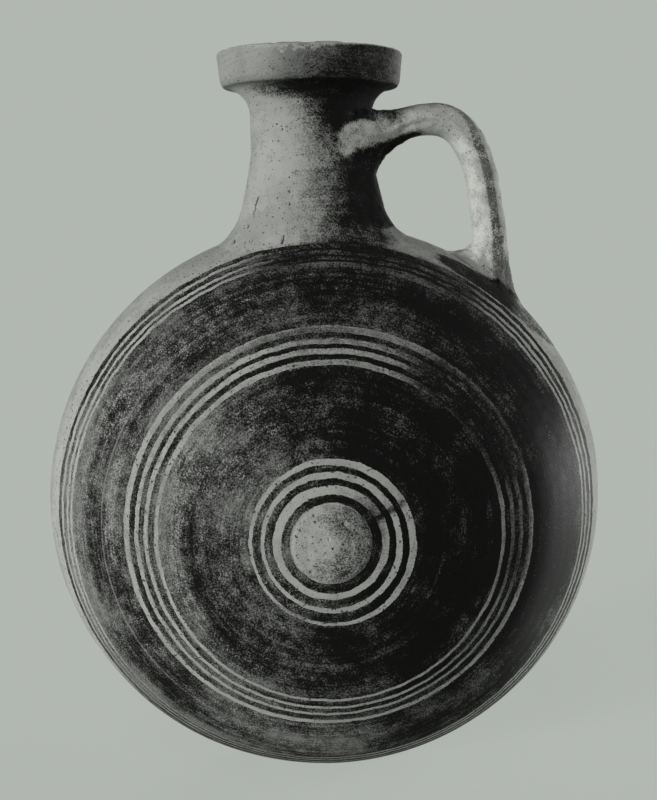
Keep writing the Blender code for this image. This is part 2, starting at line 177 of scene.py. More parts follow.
# How the rings wander by hand, as (distance, towards the handle, upwards, oval, slanted oval)
RING_WANDER = (
    (0.015, -0.0001, -0.00007, -0.0002, 0.0), (0.02, -0.0002, 0.00012, -0.0002, -0.0001),
    (0.0255, -0.00025, 0.0, -0.00035, -0.0002), (0.0302, 0.00015, -0.0005, -0.0005, -0.0003),
    (0.065, 0.00003, -0.00009, -0.0001, -0.0002), (0.074, -0.0002, 0.00018, 0.0001, -0.0001),
    (0.101, 0.0003, 0.00015, 0.0, 0.0))

# By how much each edge of a pale band widens, as (distance, towards the handle, upwards)
RING_WIDENING = (
    (0.02, -0.0001, 0.00027), (0.0252, 0.0002, 0.0002), (0.0302, 0.00031, 0.00024),
    (0.065, -0.00002, 0.00018), (0.085, -0.00003, 0.00018), (0.1, 0.0, 0.0))

# Soft patches of wear, grime and polish, as (angle, half spread, distance, half depth, amount);
# the back has the front's wear and grime mirrored and turned on by BACK_TURN.  The widest wear
# patches also thin the paint on the lit left and thicken it on the shaded right, as painted light
# and painted shade; the grime patches on the right, round the boss outside its lit left half and
# under the neck's foot are painted shade, the last a painted shadow of the neck
# Wear, with painted light on the lit left and painted shade on the shaded right
WEAR_AND_LIGHT_PLACES = (
    (185, 76, 0.056, 0.056, 0.27), (172, 50, 0.0603, 0.006, 0.28), (200, 42, 0.0505, 0.0056, -0.24),
    (145, 34, 0.043, 0.012, 0.12), (150, 40, 0.0825, 0.0055, 0.14), (240, 22, 0.093, 0.006, -0.24),
    (150, 24, 0.06, 0.0048, 0.14), (350, 50, 0.0505, 0.006, -0.15), (302, 22, 0.083, 0.006, 0.16),
    (208, 20, 0.093, 0.007, -0.1), (258, 28, 0.086, 0.011, 0.38), (180, 34, 0.1, 0.0065, 0.45),
    (225, 22, 0.101, 0.004, 0.2), (125, 22, 0.0925, 0.006, 0.22), (75, 26, 0.085, 0.016, 0.04),
    (0, 84, 0.053, 0.04, -0.26), (200, 60, 0.083, 0.011, -0.13), (56, 20, 0.111, 0.004, -0.25),
    (174, 15, 0.0832, 0.0028, 0.34), (262, 26, 0.092, 0.007, 0.14), (265, 30, 0.059, 0.007, 0.06),
    (214, 18, 0.05, 0.012, -0.11), (268, 20, 0.05, 0.012, -0.14), (180, 15, 0.093, 0.006, -0.1),
    (150, 8, 0.091, 0.0045, 0.2), (174, 12, 0.0885, 0.004, 0.2), (211, 8, 0.087, 0.006, 0.18))
# Grime, with painted shade on the right, round the boss outside its lit left half and under the neck's foot
GRIME_AND_SHADE_PLACES = (
    (40, 24, 0.0705, 0.009, 0.8), (84, 26, 0.0705, 0.009, 0.37), (33, 11, 0.025, 0.011, 0.2),
    (29, 3, 0.0255, 0.007, 0.36), (2, 20, 0.0705, 0.007, 0.38), (4, 22, 0.0766, 0.0016, 0.16),
    (80, 28, 0.103, 0.005, 1.0), (240, 40, 0.103, 0.006, 0.4), (322, 34, 0.0705, 0.007, 0.3),
    (250, 30, 0.0302, 0.0012, 0.45), (165, 55, 0.0705, 0.009, 0.2), (40, 40, 0.0198, 0.003, 0.22),
    (6, 80, 0.0095, 0.0085, 0.46), (268, 44, 0.0095, 0.006, 0.36), (94, 36, 0.0095, 0.006, 0.18),
    (104, 26, 0.0764, 0.0024, 0.26), (342, 24, 0.0302, 0.0012, 0.3), (0, 60, 0.021, 0.005, 0.16),
    (0, 66, 0.0705, 0.009, 0.13), (238, 20, 0.111, 0.004, 0.5), (304, 22, 0.111, 0.004, 0.62))
BURNISHED_PLACES = ((-8.0, 30.0, 0.098, 0.014, 1.0),)
BACK_TURN = 0.9

# Lines and unevenness left by the wheel and the hand, and the wear of the rim
BODY_LINE_SPACING = 0.0046
BODY_LINE_DEPTH = 0.00005
BODY_UNEVENNESS = 0.00014
NECK_LINE_SPACING = 0.0034
NECK_LINE_DEPTH = 0.00006
NECK_UNEVENNESS = 0.00010
COIL_UNEVENNESS = 0.00025
HANDLE_UNEVENNESS = 0.00022
HANDLE_MEAN_RADIUS = 0.007
HANDLE_RIDGE = 0.045
HANDLE_RIDGE_ANGLE = 272.0
WAD_UNEVENNESS = 0.00030
WAD_FINGERS = 13.0
RIM_WEAR = 0.00012

# Shallow groove left by the wheel on the left of the body
GROOVE_DISTANCE = 0.0872
GROOVE_WIDTH = 0.0006
GROOVE_DEPTH = 0.00018
GROOVED_PLACES = ((178.0, 46.0, GROOVE_DISTANCE, 0.004, 1.0),)

# Pits in the bosses as (x, height over the middle, width, depth): the front's one by one, and
# the least and the most of each for the back's
BOSS_PITS = (
    (0.0043, 0.0081, 0.0008, 0.0009), (-0.0012, 0.0030, 0.0004, 0.0004), (0.0036, -0.0010, 0.0006, 0.0007),
    (-0.0044, 0.0106, 0.0005, 0.0004), (-0.0075, -0.0101, 0.0007, 0.0007), (0.0057, 0.0062, 0.0009, 0.0006),
    (-0.0096, 0.0055, 0.0004, 0.0003), (0.0079, -0.0065, 0.0005, 0.0004))
BACK_PIT_COUNT = 9
BACK_PIT_RANGE = ((-0.011, -0.011, 0.0003, 0.0002), (0.011, 0.011, 0.0007, 0.0006))

# Cracks and nicks in neck and coil as (degrees from the front, height, the same at the other
# end, width, depth), laid out flat at DEGREE_WIDTH to the degree; chips along the rim as (angle
# round the neck, half spread, depth); and the grime that a cut holds for each metre of its depth
DEGREE_WIDTH = 0.0005
CUTS = (
    (-50.8, 0.2378, -52.5, 0.2350, 0.0003, 0.0006),
    (-52.5, 0.2350, -54.0, 0.2312, 0.0003, 0.0007),
    (-22.9, 0.2228, -23.6, 0.2200, 0.00035, 0.0006),
    (-65.0, 0.2200, -67.5, 0.2212, 0.00035, 0.0005),
    (-28.0, 0.2635, -28.4, 0.2630, 0.00035, 0.0005))
RIM_CHIPS = ((268.0, 3.2, 0.0010), (247.0, 2.0, 0.0004), (291.0, 2.6, 0.0004), (60.0, 4.0, 0.0007),
             (150.0, 2.5, 0.0005), (205.0, 3.0, 0.0003))
CUT_GRIME = 1600.0

# Painted band down the handle, which also stands in for the shade on the rod's side turned from
# the light: its two edges as angles from the outer side, at shares of the handle's length
BAND_SHARES = (0.10, 0.28, 0.40, 0.50)
BAND_LOW = (0.10, 0.42, 0.76, 0.98)
BAND_HIGH = (0.40, 0.85, 1.28, 1.52)

# The upper wad, by x: heights over the shoulder of the line under which its lower side is painted
# dark as shade, and of the lower and upper edge of its smear, painted pale as light on its lit face
SHADE_UNDER_WAD_X = (0.0085, 0.0098, 0.0116, 0.0145, 0.0168, 0.0216, 0.0290, 0.0326, 0.0402)
SHADE_UNDER_WAD_LINE = (0.0206, 0.0258, 0.0279, 0.0282, 0.0293, 0.0312, 0.0336, 0.0352, 0.0366)
SMEAR_X = (0.0045, 0.0065, 0.0081, 0.0101, 0.0122, 0.0151, 0.0190, 0.0245, 0.0285, 0.0325, 0.0370)
SMEAR_LOW = (0.0290, 0.0265, 0.0250, 0.0268, 0.0282, 0.0286, 0.0300, 0.0322, 0.0336, 0.0352, 0.0362)
SMEAR_TOP = (0.0345, 0.0358, 0.0374, 0.0384, 0.0394, 0.0402, 0.0396, 0.0394, 0.0398, 0.0412, 0.0500)

# Painted shade and stain of the neck, on its side turned from the light, with a painted shadow
# under the collar: azimuths where it sets in and where it is full, by height
SHADE_AND_STAIN_HEIGHTS = (
    SHOULDER_Z, SHOULDER_Z + 0.009, SHOULDER_Z + 0.030, UNDERSIDE_FOOT_Z, RIM_CHAMFER_Z - 0.0066,
    RIM_CHAMFER_Z - 0.0040, RIM_CHAMFER_Z - 0.0014, RIM_CHAMFER_Z + 0.001, RIM_Z - 0.004, RIM_Z)
SHADE_AND_STAIN_STARTS = (-18.0, -36.0, -20.0, -24.0, -32.0, -86.0, -76.0, -50.0, -42.0, -34.0)
SHADE_AND_STAIN_FULL = (24.0, 40.0, 26.0, 14.0, 16.0, -2.0, -18.0, 10.0, 28.0, 34.0)

# Painted stripes beside the handle's foot, partly painted shade where the shoulder turns from the
# light, by angle round the body: how far each one's middle lies from the seam, and its half width
STRIPE_ANGLES = (32.5, 34.0, 36.0, 39.0, 42.0, 46.0, 50.0, 54.0, 57.0, 61.0, 68.0)
STRIPE_MIDDLES = (0.0, 0.0020, 0.0066, 0.0088, 0.0112, 0.0120, 0.0150, 0.0184, 0.0188, 0.0186, 0.0180)
STRIPE_HALF_WIDTHS = (
    -0.0030, 0.0070, 0.0090, 0.0108, 0.0114, 0.0117, 0.0090, 0.0058, 0.0055, 0.0054, 0.0030)

# Grey tones, from the photograph's lit clay, washed collar and dark paint
CLAY = (0.415, 0.425, 0.40, 1.0)
# The handle's paler clay is painted light: a lighter copy of the same clay, for the light on it
LIT_HANDLE_CLAY = (0.56, 0.57, 0.54, 1.0)
# The smear's near-white tone is painted light on the upper wad's lit face
LIT_SMEAR_TONE = (0.80, 0.815, 0.77, 1.0)
CLAY_STAIN = (0.25, 0.255, 0.24, 1.0)
THIN_PAINT = (0.185, 0.189, 0.178, 1.0)
DENSE_PAINT = (0.0050, 0.0052, 0.0047, 1.0)
# The wash tone also serves as painted shade on the collar
WASH_AND_SHADE_TONE = (0.17, 0.173, 0.165, 1.0)
SPECK = (0.015, 0.0155, 0.0145, 1.0)
# The grime tone also serves as painted shade
SHADE_AND_GRIME_TONE = (0.007, 0.0072, 0.0067, 1.0)
BACKGROUND = (0.445, 0.474, 0.441, 1.0)
FLOOR_COLOUR = (0.80, 0.85, 0.79, 1.0)

# Gloss of the unpolished clay, by how much specular lowers its roughness, and its fine relief
MATT_SPECULAR = 0.06
MATT_ROUGHNESS = 0.85
SPECULAR_SMOOTHS = 0.7
RELIEF_STRENGTH = 0.6

# Lengths over which the clay and its paint change
FINE_GRAIN = 0.0006
COARSE_GRAIN = 0.0040
CLOUD_LENGTH = 0.017
PAINT_EDGE_LENGTH = 0.006
PAINT_EDGE_WANDER = 0.0013
SPECK_LENGTH = 0.0011
STREAK_SPACING = 0.0011
STREAK_TURN = 1.6

# Lamps as (name, azimuth, elevation, strength, width in degrees), then the light all round and
# the floor; azimuths run from the front (0) round the handle's side (90) to the back
LAMPS = (
    ("key_lamp", -57.0, 8.0, 0.93, 11.0),
    ("top_lamp", -15.0, 55.0, 0.10, 25.0),
    ("back_lamp", 165.0, 12.0, 0.4, 25.0),
    ("side_lamp", 101.0, 8.0, 0.85, 30.0))
FILL_STRENGTH = 0.015
FLOOR_GLOW = 1.041
FLOOR_GLOW_SHARE = 0.85
FLOOR_REACH = 40.0

# Camera, fitted to the photograph's rings and outline
CAMERA_PLACE = (-0.01449, -0.483, 0.23245)
CAMERA_PITCH_DOWN = 9.2
CAMERA_YAW = 1.9
CAMERA_ROLL = 0.5
PHOTO_HEIGHT = 800.0
FOCAL_PIXELS = 1171.0
SENSOR_WIDTH = 36.0


def smooth(low, high, value):
    """0 below low, 1 above high and a soft S between."""
    share = np.clip((value - low) / (high - low), 0.0, 1.0)
    return share * share * (3.0 - 2.0 * share)


def bell(distance, width):
    """1 at no distance, falling off both ways like a bell."""
    return np.exp(-(distance / width) ** 2)


def hills(points, length, seed):
    """Soft hills and hollows, mostly within -1 and 1: sine waves that run in seeded directions."""
    rng = np.random.default_rng(seed)
    count = 16
    ways = rng.normal(size=(3, count))
    ways *= 2.0 * np.pi / (length * rng.uniform(0.7, 1.5, count) * np.linalg.norm(ways, axis=0))
    waves = np.sin(points @ ways + rng.uniform(0.0, 2.0 * np.pi, count))
    return waves.sum(axis=-1) / np.sqrt(2.0 * count)


def turned_from(middle, angle):
    """Angle from a middle one, the short way round."""
    return np.angle(np.exp(1j * (angle - middle)))


def from_axis(points):
    """Angle round the body's axis and distance from it."""
    over = points[..., 2] - BODY_Z
    return np.arctan2(over, points[..., 0]), np.hypot(points[..., 0], over)


def patches(angle, distance, places):
    """Sum of soft patches, each a flat-topped bell in angle and in distance from the axis."""
    total = np.zeros_like(distance)
    for turn, spread, middle, depth, amount in places:
        gap = np.degrees(turned_from(math.radians(turn), angle))
        total += amount * np.exp(-(gap / spread) ** 4 - ((distance - middle) / depth) ** 4)
    return total


def between(start, end, count):
    """Even steps from start to end, both among them, as a column for broadcasting."""
    return np.linspace(start, end, count)[:, None]


def around(count):
    """Even angles round a full turn, as a row for broadcasting."""
    return np.linspace(0.0, 2.0 * np.pi, count, endpoint=False)[None, :]


def as_points(x, y, z):
    """Puts three arrays together as points, stretching each to the common shape."""
    return np.stack(np.broadcast_arrays(x, y, z), axis=-1)


def eased(rows, times):
    """Rounds the corners across closed rows: each row moves towards its neighbours' middle."""
    for _ in range(times):
        rows = 0.25 * np.roll(rows, 1, axis=0) + 0.5 * rows + 0.25 * np.roll(rows, -1, axis=0)
    return rows


def unit(vectors):
    """The same directions at length 1."""
    return vectors / np.linalg.norm(vectors, axis=-1, keepdims=True)


def hermite(start, start_pull, end, end_pull, share):
    """Cubic curve from start to end with a pull at each end."""
    s2 = share * share
    s3 = s2 * share
    return (start * (2.0 * s3 - 3.0 * s2 + 1.0) + start_pull * (s3 - 2.0 * s2 + share)
            + end * (3.0 * s2 - 2.0 * s3) + end_pull * (s3 - s2))


def positions(mesh):
    """Where the mesh's vertices are."""
    where = np.empty(len(mesh.vertices) * 3)
    mesh.vertices.foreach_get("co", where)
    return where.reshape(-1, 3)


def skin(name, rows, joined):
    """Closed smooth mesh over rows of points, each row a loop.

    Joined rows close on themselves; otherwise a point at each end row's middle closes the end.
    The faces are turned outwards by the sign of the volume that they enclose.
    """
    count, sides = rows.shape[:2]
    points = rows.reshape(-1, 3)
    index = np.arange(count * sides).reshape(count, sides)
    following = np.roll(index, -1, axis=0) if joined else index[1:]
    starts = index if joined else index[:-1]
    corners = [starts, np.roll(starts, -1, axis=1), np.roll(following, -1, axis=1), following]
    quads = np.stack(corners, axis=-1).reshape(-1, 4)
    ends = np.empty((0, 3), int)
    if not joined:
        points = np.vstack([points, rows[0].mean(axis=0), rows[-1].mean(axis=0)])
        first, last = index[0], index[-1]
        low_end = np.stack([np.full(sides, count * sides), np.roll(first, -1), first], axis=-1)
        high_end = np.stack([np.full(sides, count * sides + 1), last, np.roll(last, -1)], axis=-1)
        ends = np.vstack([low_end, high_end])
    triangles = np.vstack([quads[:, :3], quads[:, [0, 2, 3]], ends])
    a, b, c = (points[triangles[:, i]] for i in range(3))
    if np.einsum("ij,ij->", a, np.cross(b, c)) < 0.0:
        quads, ends = quads[:, ::-1], ends[:, ::-1]
    mesh = bpy.data.meshes.new(name)
    mesh.from_pydata(points.tolist(), [], quads.tolist() + ends.tolist())
    mesh.shade_smooth()
    obj = bpy.data.objects.new(name, mesh)
    bpy.context.scene.collection.objects.link(obj)
    return obj


def mark(obj, name, values, kind="FLOAT"):
    """Keeps a value or a vector at each vertex for the finish to read."""
    attribute = obj.data.attributes.new(name, kind, "POINT")
    field = "value" if kind == "FLOAT" else "vector"
    attribute.data.foreach_set(field, np.ascontiguousarray(values, dtype=np.float32).ravel())


def with_ends(values):
    """A row-by-row value for an open skin, with the two closing points added."""
    return np.concatenate([values.ravel(), [values[0].mean(), values[-1].mean()]])


def body_height(x, y, grow=0.0):
    """Height of the round body's surface at (x, y), grown outwards by a gap."""
    across = x / (BODY_RADIUS + grow)
    deep = y / (BODY_HALF_DEPTH + grow)
    return BODY_Z + (BODY_RADIUS + grow) * np.sqrt(1.0 - across ** 2 - deep ** 2)


def neck_radius(z):
    """Outer radius of the neck: a hollow quarter oval under the collar, then straight, then
    spreading down to the coil by a power of the share of the way."""
    rise = np.clip((z - UNDERSIDE_FOOT_Z) / RIM_UNDERSIDE_DROP, 0.0, 1.0)
    under = (RIM_CHAMFER_RADIUS - NECK_RADIUS) * (1.0 - np.sqrt(1.0 - rise ** 2))
    share = (NECK_SPREAD_TOP - (z - SHOULDER_Z)) / (NECK_SPREAD_TOP - COIL_TOP)
    return NECK_RADIUS + under + NECK_BASE_SPREAD * np.clip(share, 0.0, 1.0) ** NECK_SPREAD_POWER


def leaned(z):
    """X of the neck's axis at a height: upright in the coil, leaning above it."""
    return NECK_X + NECK_LEAN * np.maximum(0.0, z - SHOULDER_Z - COIL_TOP)


def around_neck(angle, radius, z):
    """Point at an angle from +X round the neck's axis."""
    return as_points(leaned(z) + radius * np.cos(angle), radius * np.sin(angle), z)


def on_shoulder(angle, radius, lift):
    """Point round the foot of the neck's axis that lies over the shoulder by a lift."""
    x = NECK_X + radius * np.cos(angle)
    y = radius * np.sin(angle)
    return as_points(x, y, body_height(x, y) + lift)


def around_body(angle, radius, depth):
    """Point at an angle round the body's axis."""
    return as_points(radius * np.cos(angle), depth, BODY_Z + radius * np.sin(angle))


def shell_row(along, inset):
    """Distance from the axis and depth of the body's half-oval at an angle from the seam."""
    return (BODY_RADIUS - inset) * np.cos(along), (BODY_HALF_DEPTH - inset) * np.sin(along)


def wheel_lines(place, spacing, sway, sway_length, drift=0.0):
    """Lines left by the fingers on the wheel, from 0 to 1: a sine whose phase sways and drifts."""
    phase = 2.0 * np.pi * place / spacing + sway * np.sin(place / sway_length) + drift
    return 0.5 + 0.5 * np.sin(phase)


def sunk_by_wheel(points, angle, distance):
    """How far the thrown surface lies inside the true oval: lines left by the fingers on the
    wheel, a slow unevenness and a shallow groove, none of them above zero."""
    lines = wheel_lines(distance, BODY_LINE_SPACING, 1.3, 0.0031)
    sink = BODY_LINE_DEPTH * lines * smooth(0.016, 0.03, distance)
    sink += BODY_UNEVENNESS * (1.0 + hills(points, 0.06, 3)) * smooth(0.005, 0.02, distance)
    groove = patches(angle, distance, GROOVED_PLACES)
    return sink + GROOVE_DEPTH * groove * bell(distance - GROOVE_DISTANCE, GROOVE_WIDTH)


def bowl(name, side, seam_shift):
    """One thrown bowl: outer and inner half-ovals turned about the body's axis, joined by the
    slanted seam and round the hole in the middle, and flattened where it stands."""
    hole = BOSS_STEM_RADIUS + CLEARANCE
    angle = around(BODY_STEPS)

    def wall(inset, slant, count):
        start = math.asin((seam_shift + slant) / (BODY_HALF_DEPTH - inset))
        return shell_row(between(start, math.acos(hole / (BODY_RADIUS - inset)), count), inset)

    out_r, out_d = wall(0.0, -side * SEAM_SLANT, BODY_ROWS)
    in_r, in_d = wall(BODY_WALL, side * SEAM_SLANT, WALL_ROWS)
    outer = around_body(angle, out_r, side * out_d)
    inner = around_body(angle, in_r, side * in_d)
    outward = unit(outer * (BODY_RADIUS ** -2, BODY_HALF_DEPTH ** -2, BODY_RADIUS ** -2)
                   - (0.0, 0.0, BODY_Z * BODY_RADIUS ** -2))
    outer = outer - outward * sunk_by_wheel(outer, *from_axis(outer))[..., None]
    outer[..., 2] = np.maximum(outer[..., 2], 0.0)
    return skin(name, np.concatenate([outer, inner[::-1]]), joined=True)


def cut_neck_hole(pieces):
    """Cuts the neck's round hole through the top of the bowls and the seam coil."""
    angle = around(HOLE_STEPS)
    radius = SPIGOT_RADIUS + CLEARANCE
    ends = np.array([[BODY_Z], [RIM_Z]])
    rows = as_points(NECK_X + radius * np.cos(angle), radius * np.sin(angle), ends)
    cutter = skin("hole", rows, joined=False)
    for piece in pieces:
        cut = piece.modifiers.new("hole", 'BOOLEAN')
        cut.operation = 'DIFFERENCE'
        cut.solver = 'EXACT'
        cut.object = cutter
        seen = piece.evaluated_get(bpy.context.evaluated_depsgraph_get())
        piece.data = bpy.data.meshes.new_from_object(seen)
        piece.modifiers.clear()
    bpy.data.objects.remove(cutter, do_unlink=True)


def seam_coil():
    """Ridge of clay over the inside of the seam: a half wave in section, turned about the axis."""
    share = between(0.0, 1.0, SEAM_COIL_ROWS)
    depth = SEAM_COIL_HALF_WIDTH * (2.0 * share - 1.0)
    wall = (BODY_RADIUS - BODY_WALL) * np.sqrt(1.0 - (depth / (BODY_HALF_DEPTH - BODY_WALL)) ** 2)
    outer = wall - SEAM_COIL_GAP
    inner = outer - SEAM_COIL_EDGE - SEAM_COIL_THICKNESS * np.sin(np.pi * share)
    radius = np.concatenate([outer, inner[::-1]])
    depth = np.concatenate([depth, depth[::-1]])
    return skin("seam_coil_clay", around_body(around(SEAM_COIL_STEPS), radius, depth), joined=True)


def boss(name, side, seed):
    """Plug of one bowl: a round-tipped cone that runs out into the bowl, pitted, with a stem.

    The cone's depth is the tip less a slope times the rounded distance from its middle.
    """
    edge_radius = BOSS_RADIUS + BOSS_EDGE_OUT
    seat = shell_row(math.acos(BOSS_RADIUS / BODY_RADIUS), 0.0)[1]
    tip = BODY_HALF_DEPTH + BOSS_RISE
    slope = tip - seat - CLEARANCE - BOSS_EDGE
    slope /= math.hypot(BOSS_RADIUS, BOSS_TIP_RADIUS) - BOSS_TIP_RADIUS
    radius = between(POLE_RADIUS, edge_radius, BOSS_ROWS)
    cone = tip - slope * (np.hypot(radius, BOSS_TIP_RADIUS) - BOSS_TIP_RADIUS)
    bowl_depth = BODY_HALF_DEPTH * np.sqrt(1.0 - (radius / BODY_RADIUS) ** 2)
    let_in = smooth(edge_radius - BOSS_FEATHER, edge_radius, radius)
    depth = bowl_depth + (cone - bowl_depth) * (1.0 - let_in) - 2.0 * SINK * let_in ** 2
    angle = around(BOSS_STEPS)
    face = around_body(angle, radius, side * depth)
    sink = 0.00006 * (1.0 + hills(face, 0.006, seed + 1)) + 0.00003 * (1.0 + hills(face, 0.0016, seed + 2))
    pits = BOSS_PITS
    if side > 0.0:
        pits = np.random.default_rng(seed).uniform(*BACK_PIT_RANGE, (BACK_PIT_COUNT, 4))
    for x, z, width, deep in pits:
        gap = np.hypot(face[..., 0] - x, face[..., 2] - BODY_Z - z)
        sink += deep * bell(gap, width)
    face[..., 1] -= side * sink
    stem_end = BODY_HALF_DEPTH - BODY_WALL - BOSS_STEM_PROUD
    back = np.array([
        [BOSS_RADIUS - BOSS_EDGE_OUT, BODY_HALF_DEPTH - BOSS_BACK_IN],
        [BOSS_STEM_RADIUS, BODY_HALF_DEPTH - BOSS_STEM_IN],
        [BOSS_STEM_RADIUS, stem_end],
        [BOSS_STEM_RADIUS * 0.5, stem_end]])
    behind = around_body(angle, back[:, :1], side * back[:, 1:])
    return skin(name, np.concatenate([face, behind]), joined=False)


def neck():
    """Neck and collar: one outline turned about the leaning axis, cut to a saddle on the
    shoulder, with fine turning lines, cracks, and a worn and chipped rim."""
    angle = around(NECK_STEPS)
    foot_z = SHOULDER_Z - NECK_SPIGOT_DEPTH
    lip_in, lip_out = MOUTH_RADIUS + RIM_EDGE_ROUND, RIM_RADIUS - RIM_EDGE_ROUND
    quarter = between(0.0, math.pi / 2.0, 6)
    outline = [
        (between(lip_in, lip_out, 6), RIM_Z),
        (lip_out + RIM_EDGE_ROUND * np.sin(quarter), RIM_Z - RIM_EDGE_ROUND * (1.0 - np.cos(quarter))),
        (between(RIM_RADIUS, RIM_BAND_RADIUS, 20), between(RIM_Z - RIM_EDGE_ROUND, RIM_BAND_Z, 20)),
        (between(RIM_BAND_RADIUS, RIM_CHAMFER_RADIUS, 5), between(RIM_BAND_Z, RIM_CHAMFER_Z, 5))]
    under = UNDERSIDE_FOOT_Z + RIM_UNDERSIDE_DROP * np.cos(between(0.0, math.pi / 2.0, 18))
    outline.append((neck_radius(under), under))
    down = between(UNDERSIDE_FOOT_Z, SHOULDER_Z + COIL_TOP, 96)
    outline.append((neck_radius(down), down))
    saddle = between(NECK_BASE_RADIUS, SPIGOT_RADIUS, 5)
    saddle_z = body_height(NECK_X + saddle * np.cos(angle), saddle * np.sin(angle), CLEARANCE)
    outline += [
        (saddle, saddle_z),
        (SPIGOT_RADIUS, between(foot_z + 0.001, foot_z, 2)),
        (NECK_BORE_RADIUS, between(foot_z, RIM_Z - MOUTH_DEPTH, 26))]
    turn = between(0.0, math.pi / 2.0, 20)
    cup_radius = NECK_BORE_RADIUS + (MOUTH_RADIUS - NECK_BORE_RADIUS) * np.sin(turn)
    cup_depth = (MOUTH_DEPTH - RIM_EDGE_ROUND) * np.cos(turn) ** MOUTH_CURVE_POWER
    outline.append((cup_radius, RIM_Z - RIM_EDGE_ROUND - cup_depth))
    points = np.concatenate([around_neck(angle, radius, z) for radius, z in outline])
    points = eased(points, 2)
    x_from_axis = points[..., 0] - leaned(points[..., 2])
    radius = np.hypot(x_from_axis, points[..., 1])
    z = points[..., 2]
    lines = wheel_lines(z, NECK_LINE_SPACING, 1.7, 0.0019, hills(points, 0.05, 8))
    sink = NECK_LINE_DEPTH * lines + NECK_UNEVENNESS * (1.0 + hills(points, 0.03, 9)) + cut_depth(points)
    outside = (radius > NECK_RADIUS - 0.001) & (z > SHOULDER_Z)
    thinner = np.where(outside, sink / radius, 0.0)
    points[..., 0] -= x_from_axis * thinner
    points[..., 1] *= 1.0 - thinner
    worn = RIM_WEAR * (1.0 + hills(points, 0.011, 10) + 0.5 * (1.0 + hills(points, 0.004, 11)))
    turned = np.arctan2(points[..., 1], x_from_axis)
    for turn, spread, deep in RIM_CHIPS:
        gap = np.degrees(turned_from(math.radians(turn), turned))
        worn += deep * bell(gap, spread) * smooth(RIM_RADIUS - 0.0035, RIM_RADIUS - 0.0005, radius)
    points[..., 2] -= worn * smooth(RIM_Z - 0.006, RIM_Z, z)
    return skin("neck_clay", points, joined=True)


def gap_to_line(points, start, end):
    """Distance of each point from the straight line between two places."""
    start, end = np.array(start), np.array(end)
    along = end - start
    share = np.clip((points - start) @ along / (along @ along), 0.0, 1.0)
    return np.linalg.norm(points - start - share[..., None] * along, axis=-1)


def cut_depth(points):
    """Depth of the cracks and nicks at each point, laid out flat by the angle round the neck."""
    azimuth = neck_azimuth(points)[0]
    flat = np.stack([azimuth, points[..., 2] / DEGREE_WIDTH], axis=-1)
    total = np.zeros(azimuth.shape)
    for start_turn, start_z, end_turn, end_z, width, deep in CUTS:
        start, end = (start_turn, start_z / DEGREE_WIDTH), (end_turn, end_z / DEGREE_WIDTH)
        total += deep * bell(gap_to_line(flat, start, end), width / DEGREE_WIDTH)
    return total


def neck_base_coil():
    """Coil smoothed into neck and shoulder: at each angle a cubic from the neck's side to the
    shoulder, tangent to both, with feathered ends sunk just under them."""
    angle = around(COIL_STEPS)
    side_reach = NECK_BASE_RADIUS + COIL_SIDE_FLARE + COIL_FEATHER_OUT
    front_reach = NECK_BASE_RADIUS + COIL_FRONT_FLARE + COIL_FEATHER_OUT
    reach = 1.0 / np.hypot(np.cos(angle) / side_reach, np.sin(angle) / front_reach)
    top_z = SHOULDER_Z + COIL_TOP + COIL_FEATHER_UP
    top = around_neck(angle, neck_radius(top_z) - SINK, top_z)
    below = around_neck(angle, neck_radius(top_z - NUDGE) - SINK, top_z - NUDGE)
    foot = on_shoulder(angle, reach, -SINK)
    inward = on_shoulder(angle, reach - NUDGE, -SINK)
    bend = np.linalg.norm(foot - top, axis=-1, keepdims=True)
    share = np.linspace(0.0, 1.0, COIL_ROWS)[:, None, None]
    outer = hermite(top, unit(below - top) * bend * COIL_HOLD, foot, unit(foot - inward) * bend, share)
    uneven = COIL_UNEVENNESS * hills(outer, 0.012, 21) * np.sin(np.pi * share[..., 0]) ** 2
    middle = np.array((NECK_X, 0.0, top_z - 0.02))
    outer = outer + unit(outer - middle) * (uneven - cut_depth(outer))[..., None]
    under_reach = reach + (NECK_BASE_RADIUS - 0.001 - reach) * between(0.04, 1.0, 8)
    under = on_shoulder(angle, under_reach, -COIL_BASE_DEPTH)
    inside = around_neck(angle, neck_radius(top_z) - 0.001, between(top_z - 0.006, top_z - 0.0005, 3))
    return skin("neck_base_coil_clay", np.concatenate([outer, under, inside]), joined=True)


def handle_curve(share):
    """Centre and direction of the handle's centre line at shares of its length, a cubic."""
    start_z = SHOULDER_Z + HANDLE_START_HEIGHT
    start_x = leaned(start_z) + neck_radius(start_z) + UPPER_WAD_LENGTH
    slope, lean = math.radians(HANDLE_START_SLOPE), math.radians(HANDLE_FOOT_SLOPE)
    start = np.array((start_x, 0.0, start_z))
    start_pull = np.array((math.cos(slope), 0.0, math.sin(slope))) * 3.0 * HANDLE_START_PULL
    end = np.array((HANDLE_FOOT_X, 0.0, body_height(HANDLE_FOOT_X, 0.0, CLEARANCE) + LOWER_WAD_HEIGHT))
    end_pull = np.array((math.sin(lean), 0.0, -math.cos(lean))) * 3.0 * HANDLE_FOOT_PULL
    share = np.asarray(share)[:, None]
    centre = hermite(start, start_pull, end, end_pull, share)
    ahead = hermite(start, start_pull, end, end_pull, share + NUDGE)
    return centre, unit(ahead - centre)


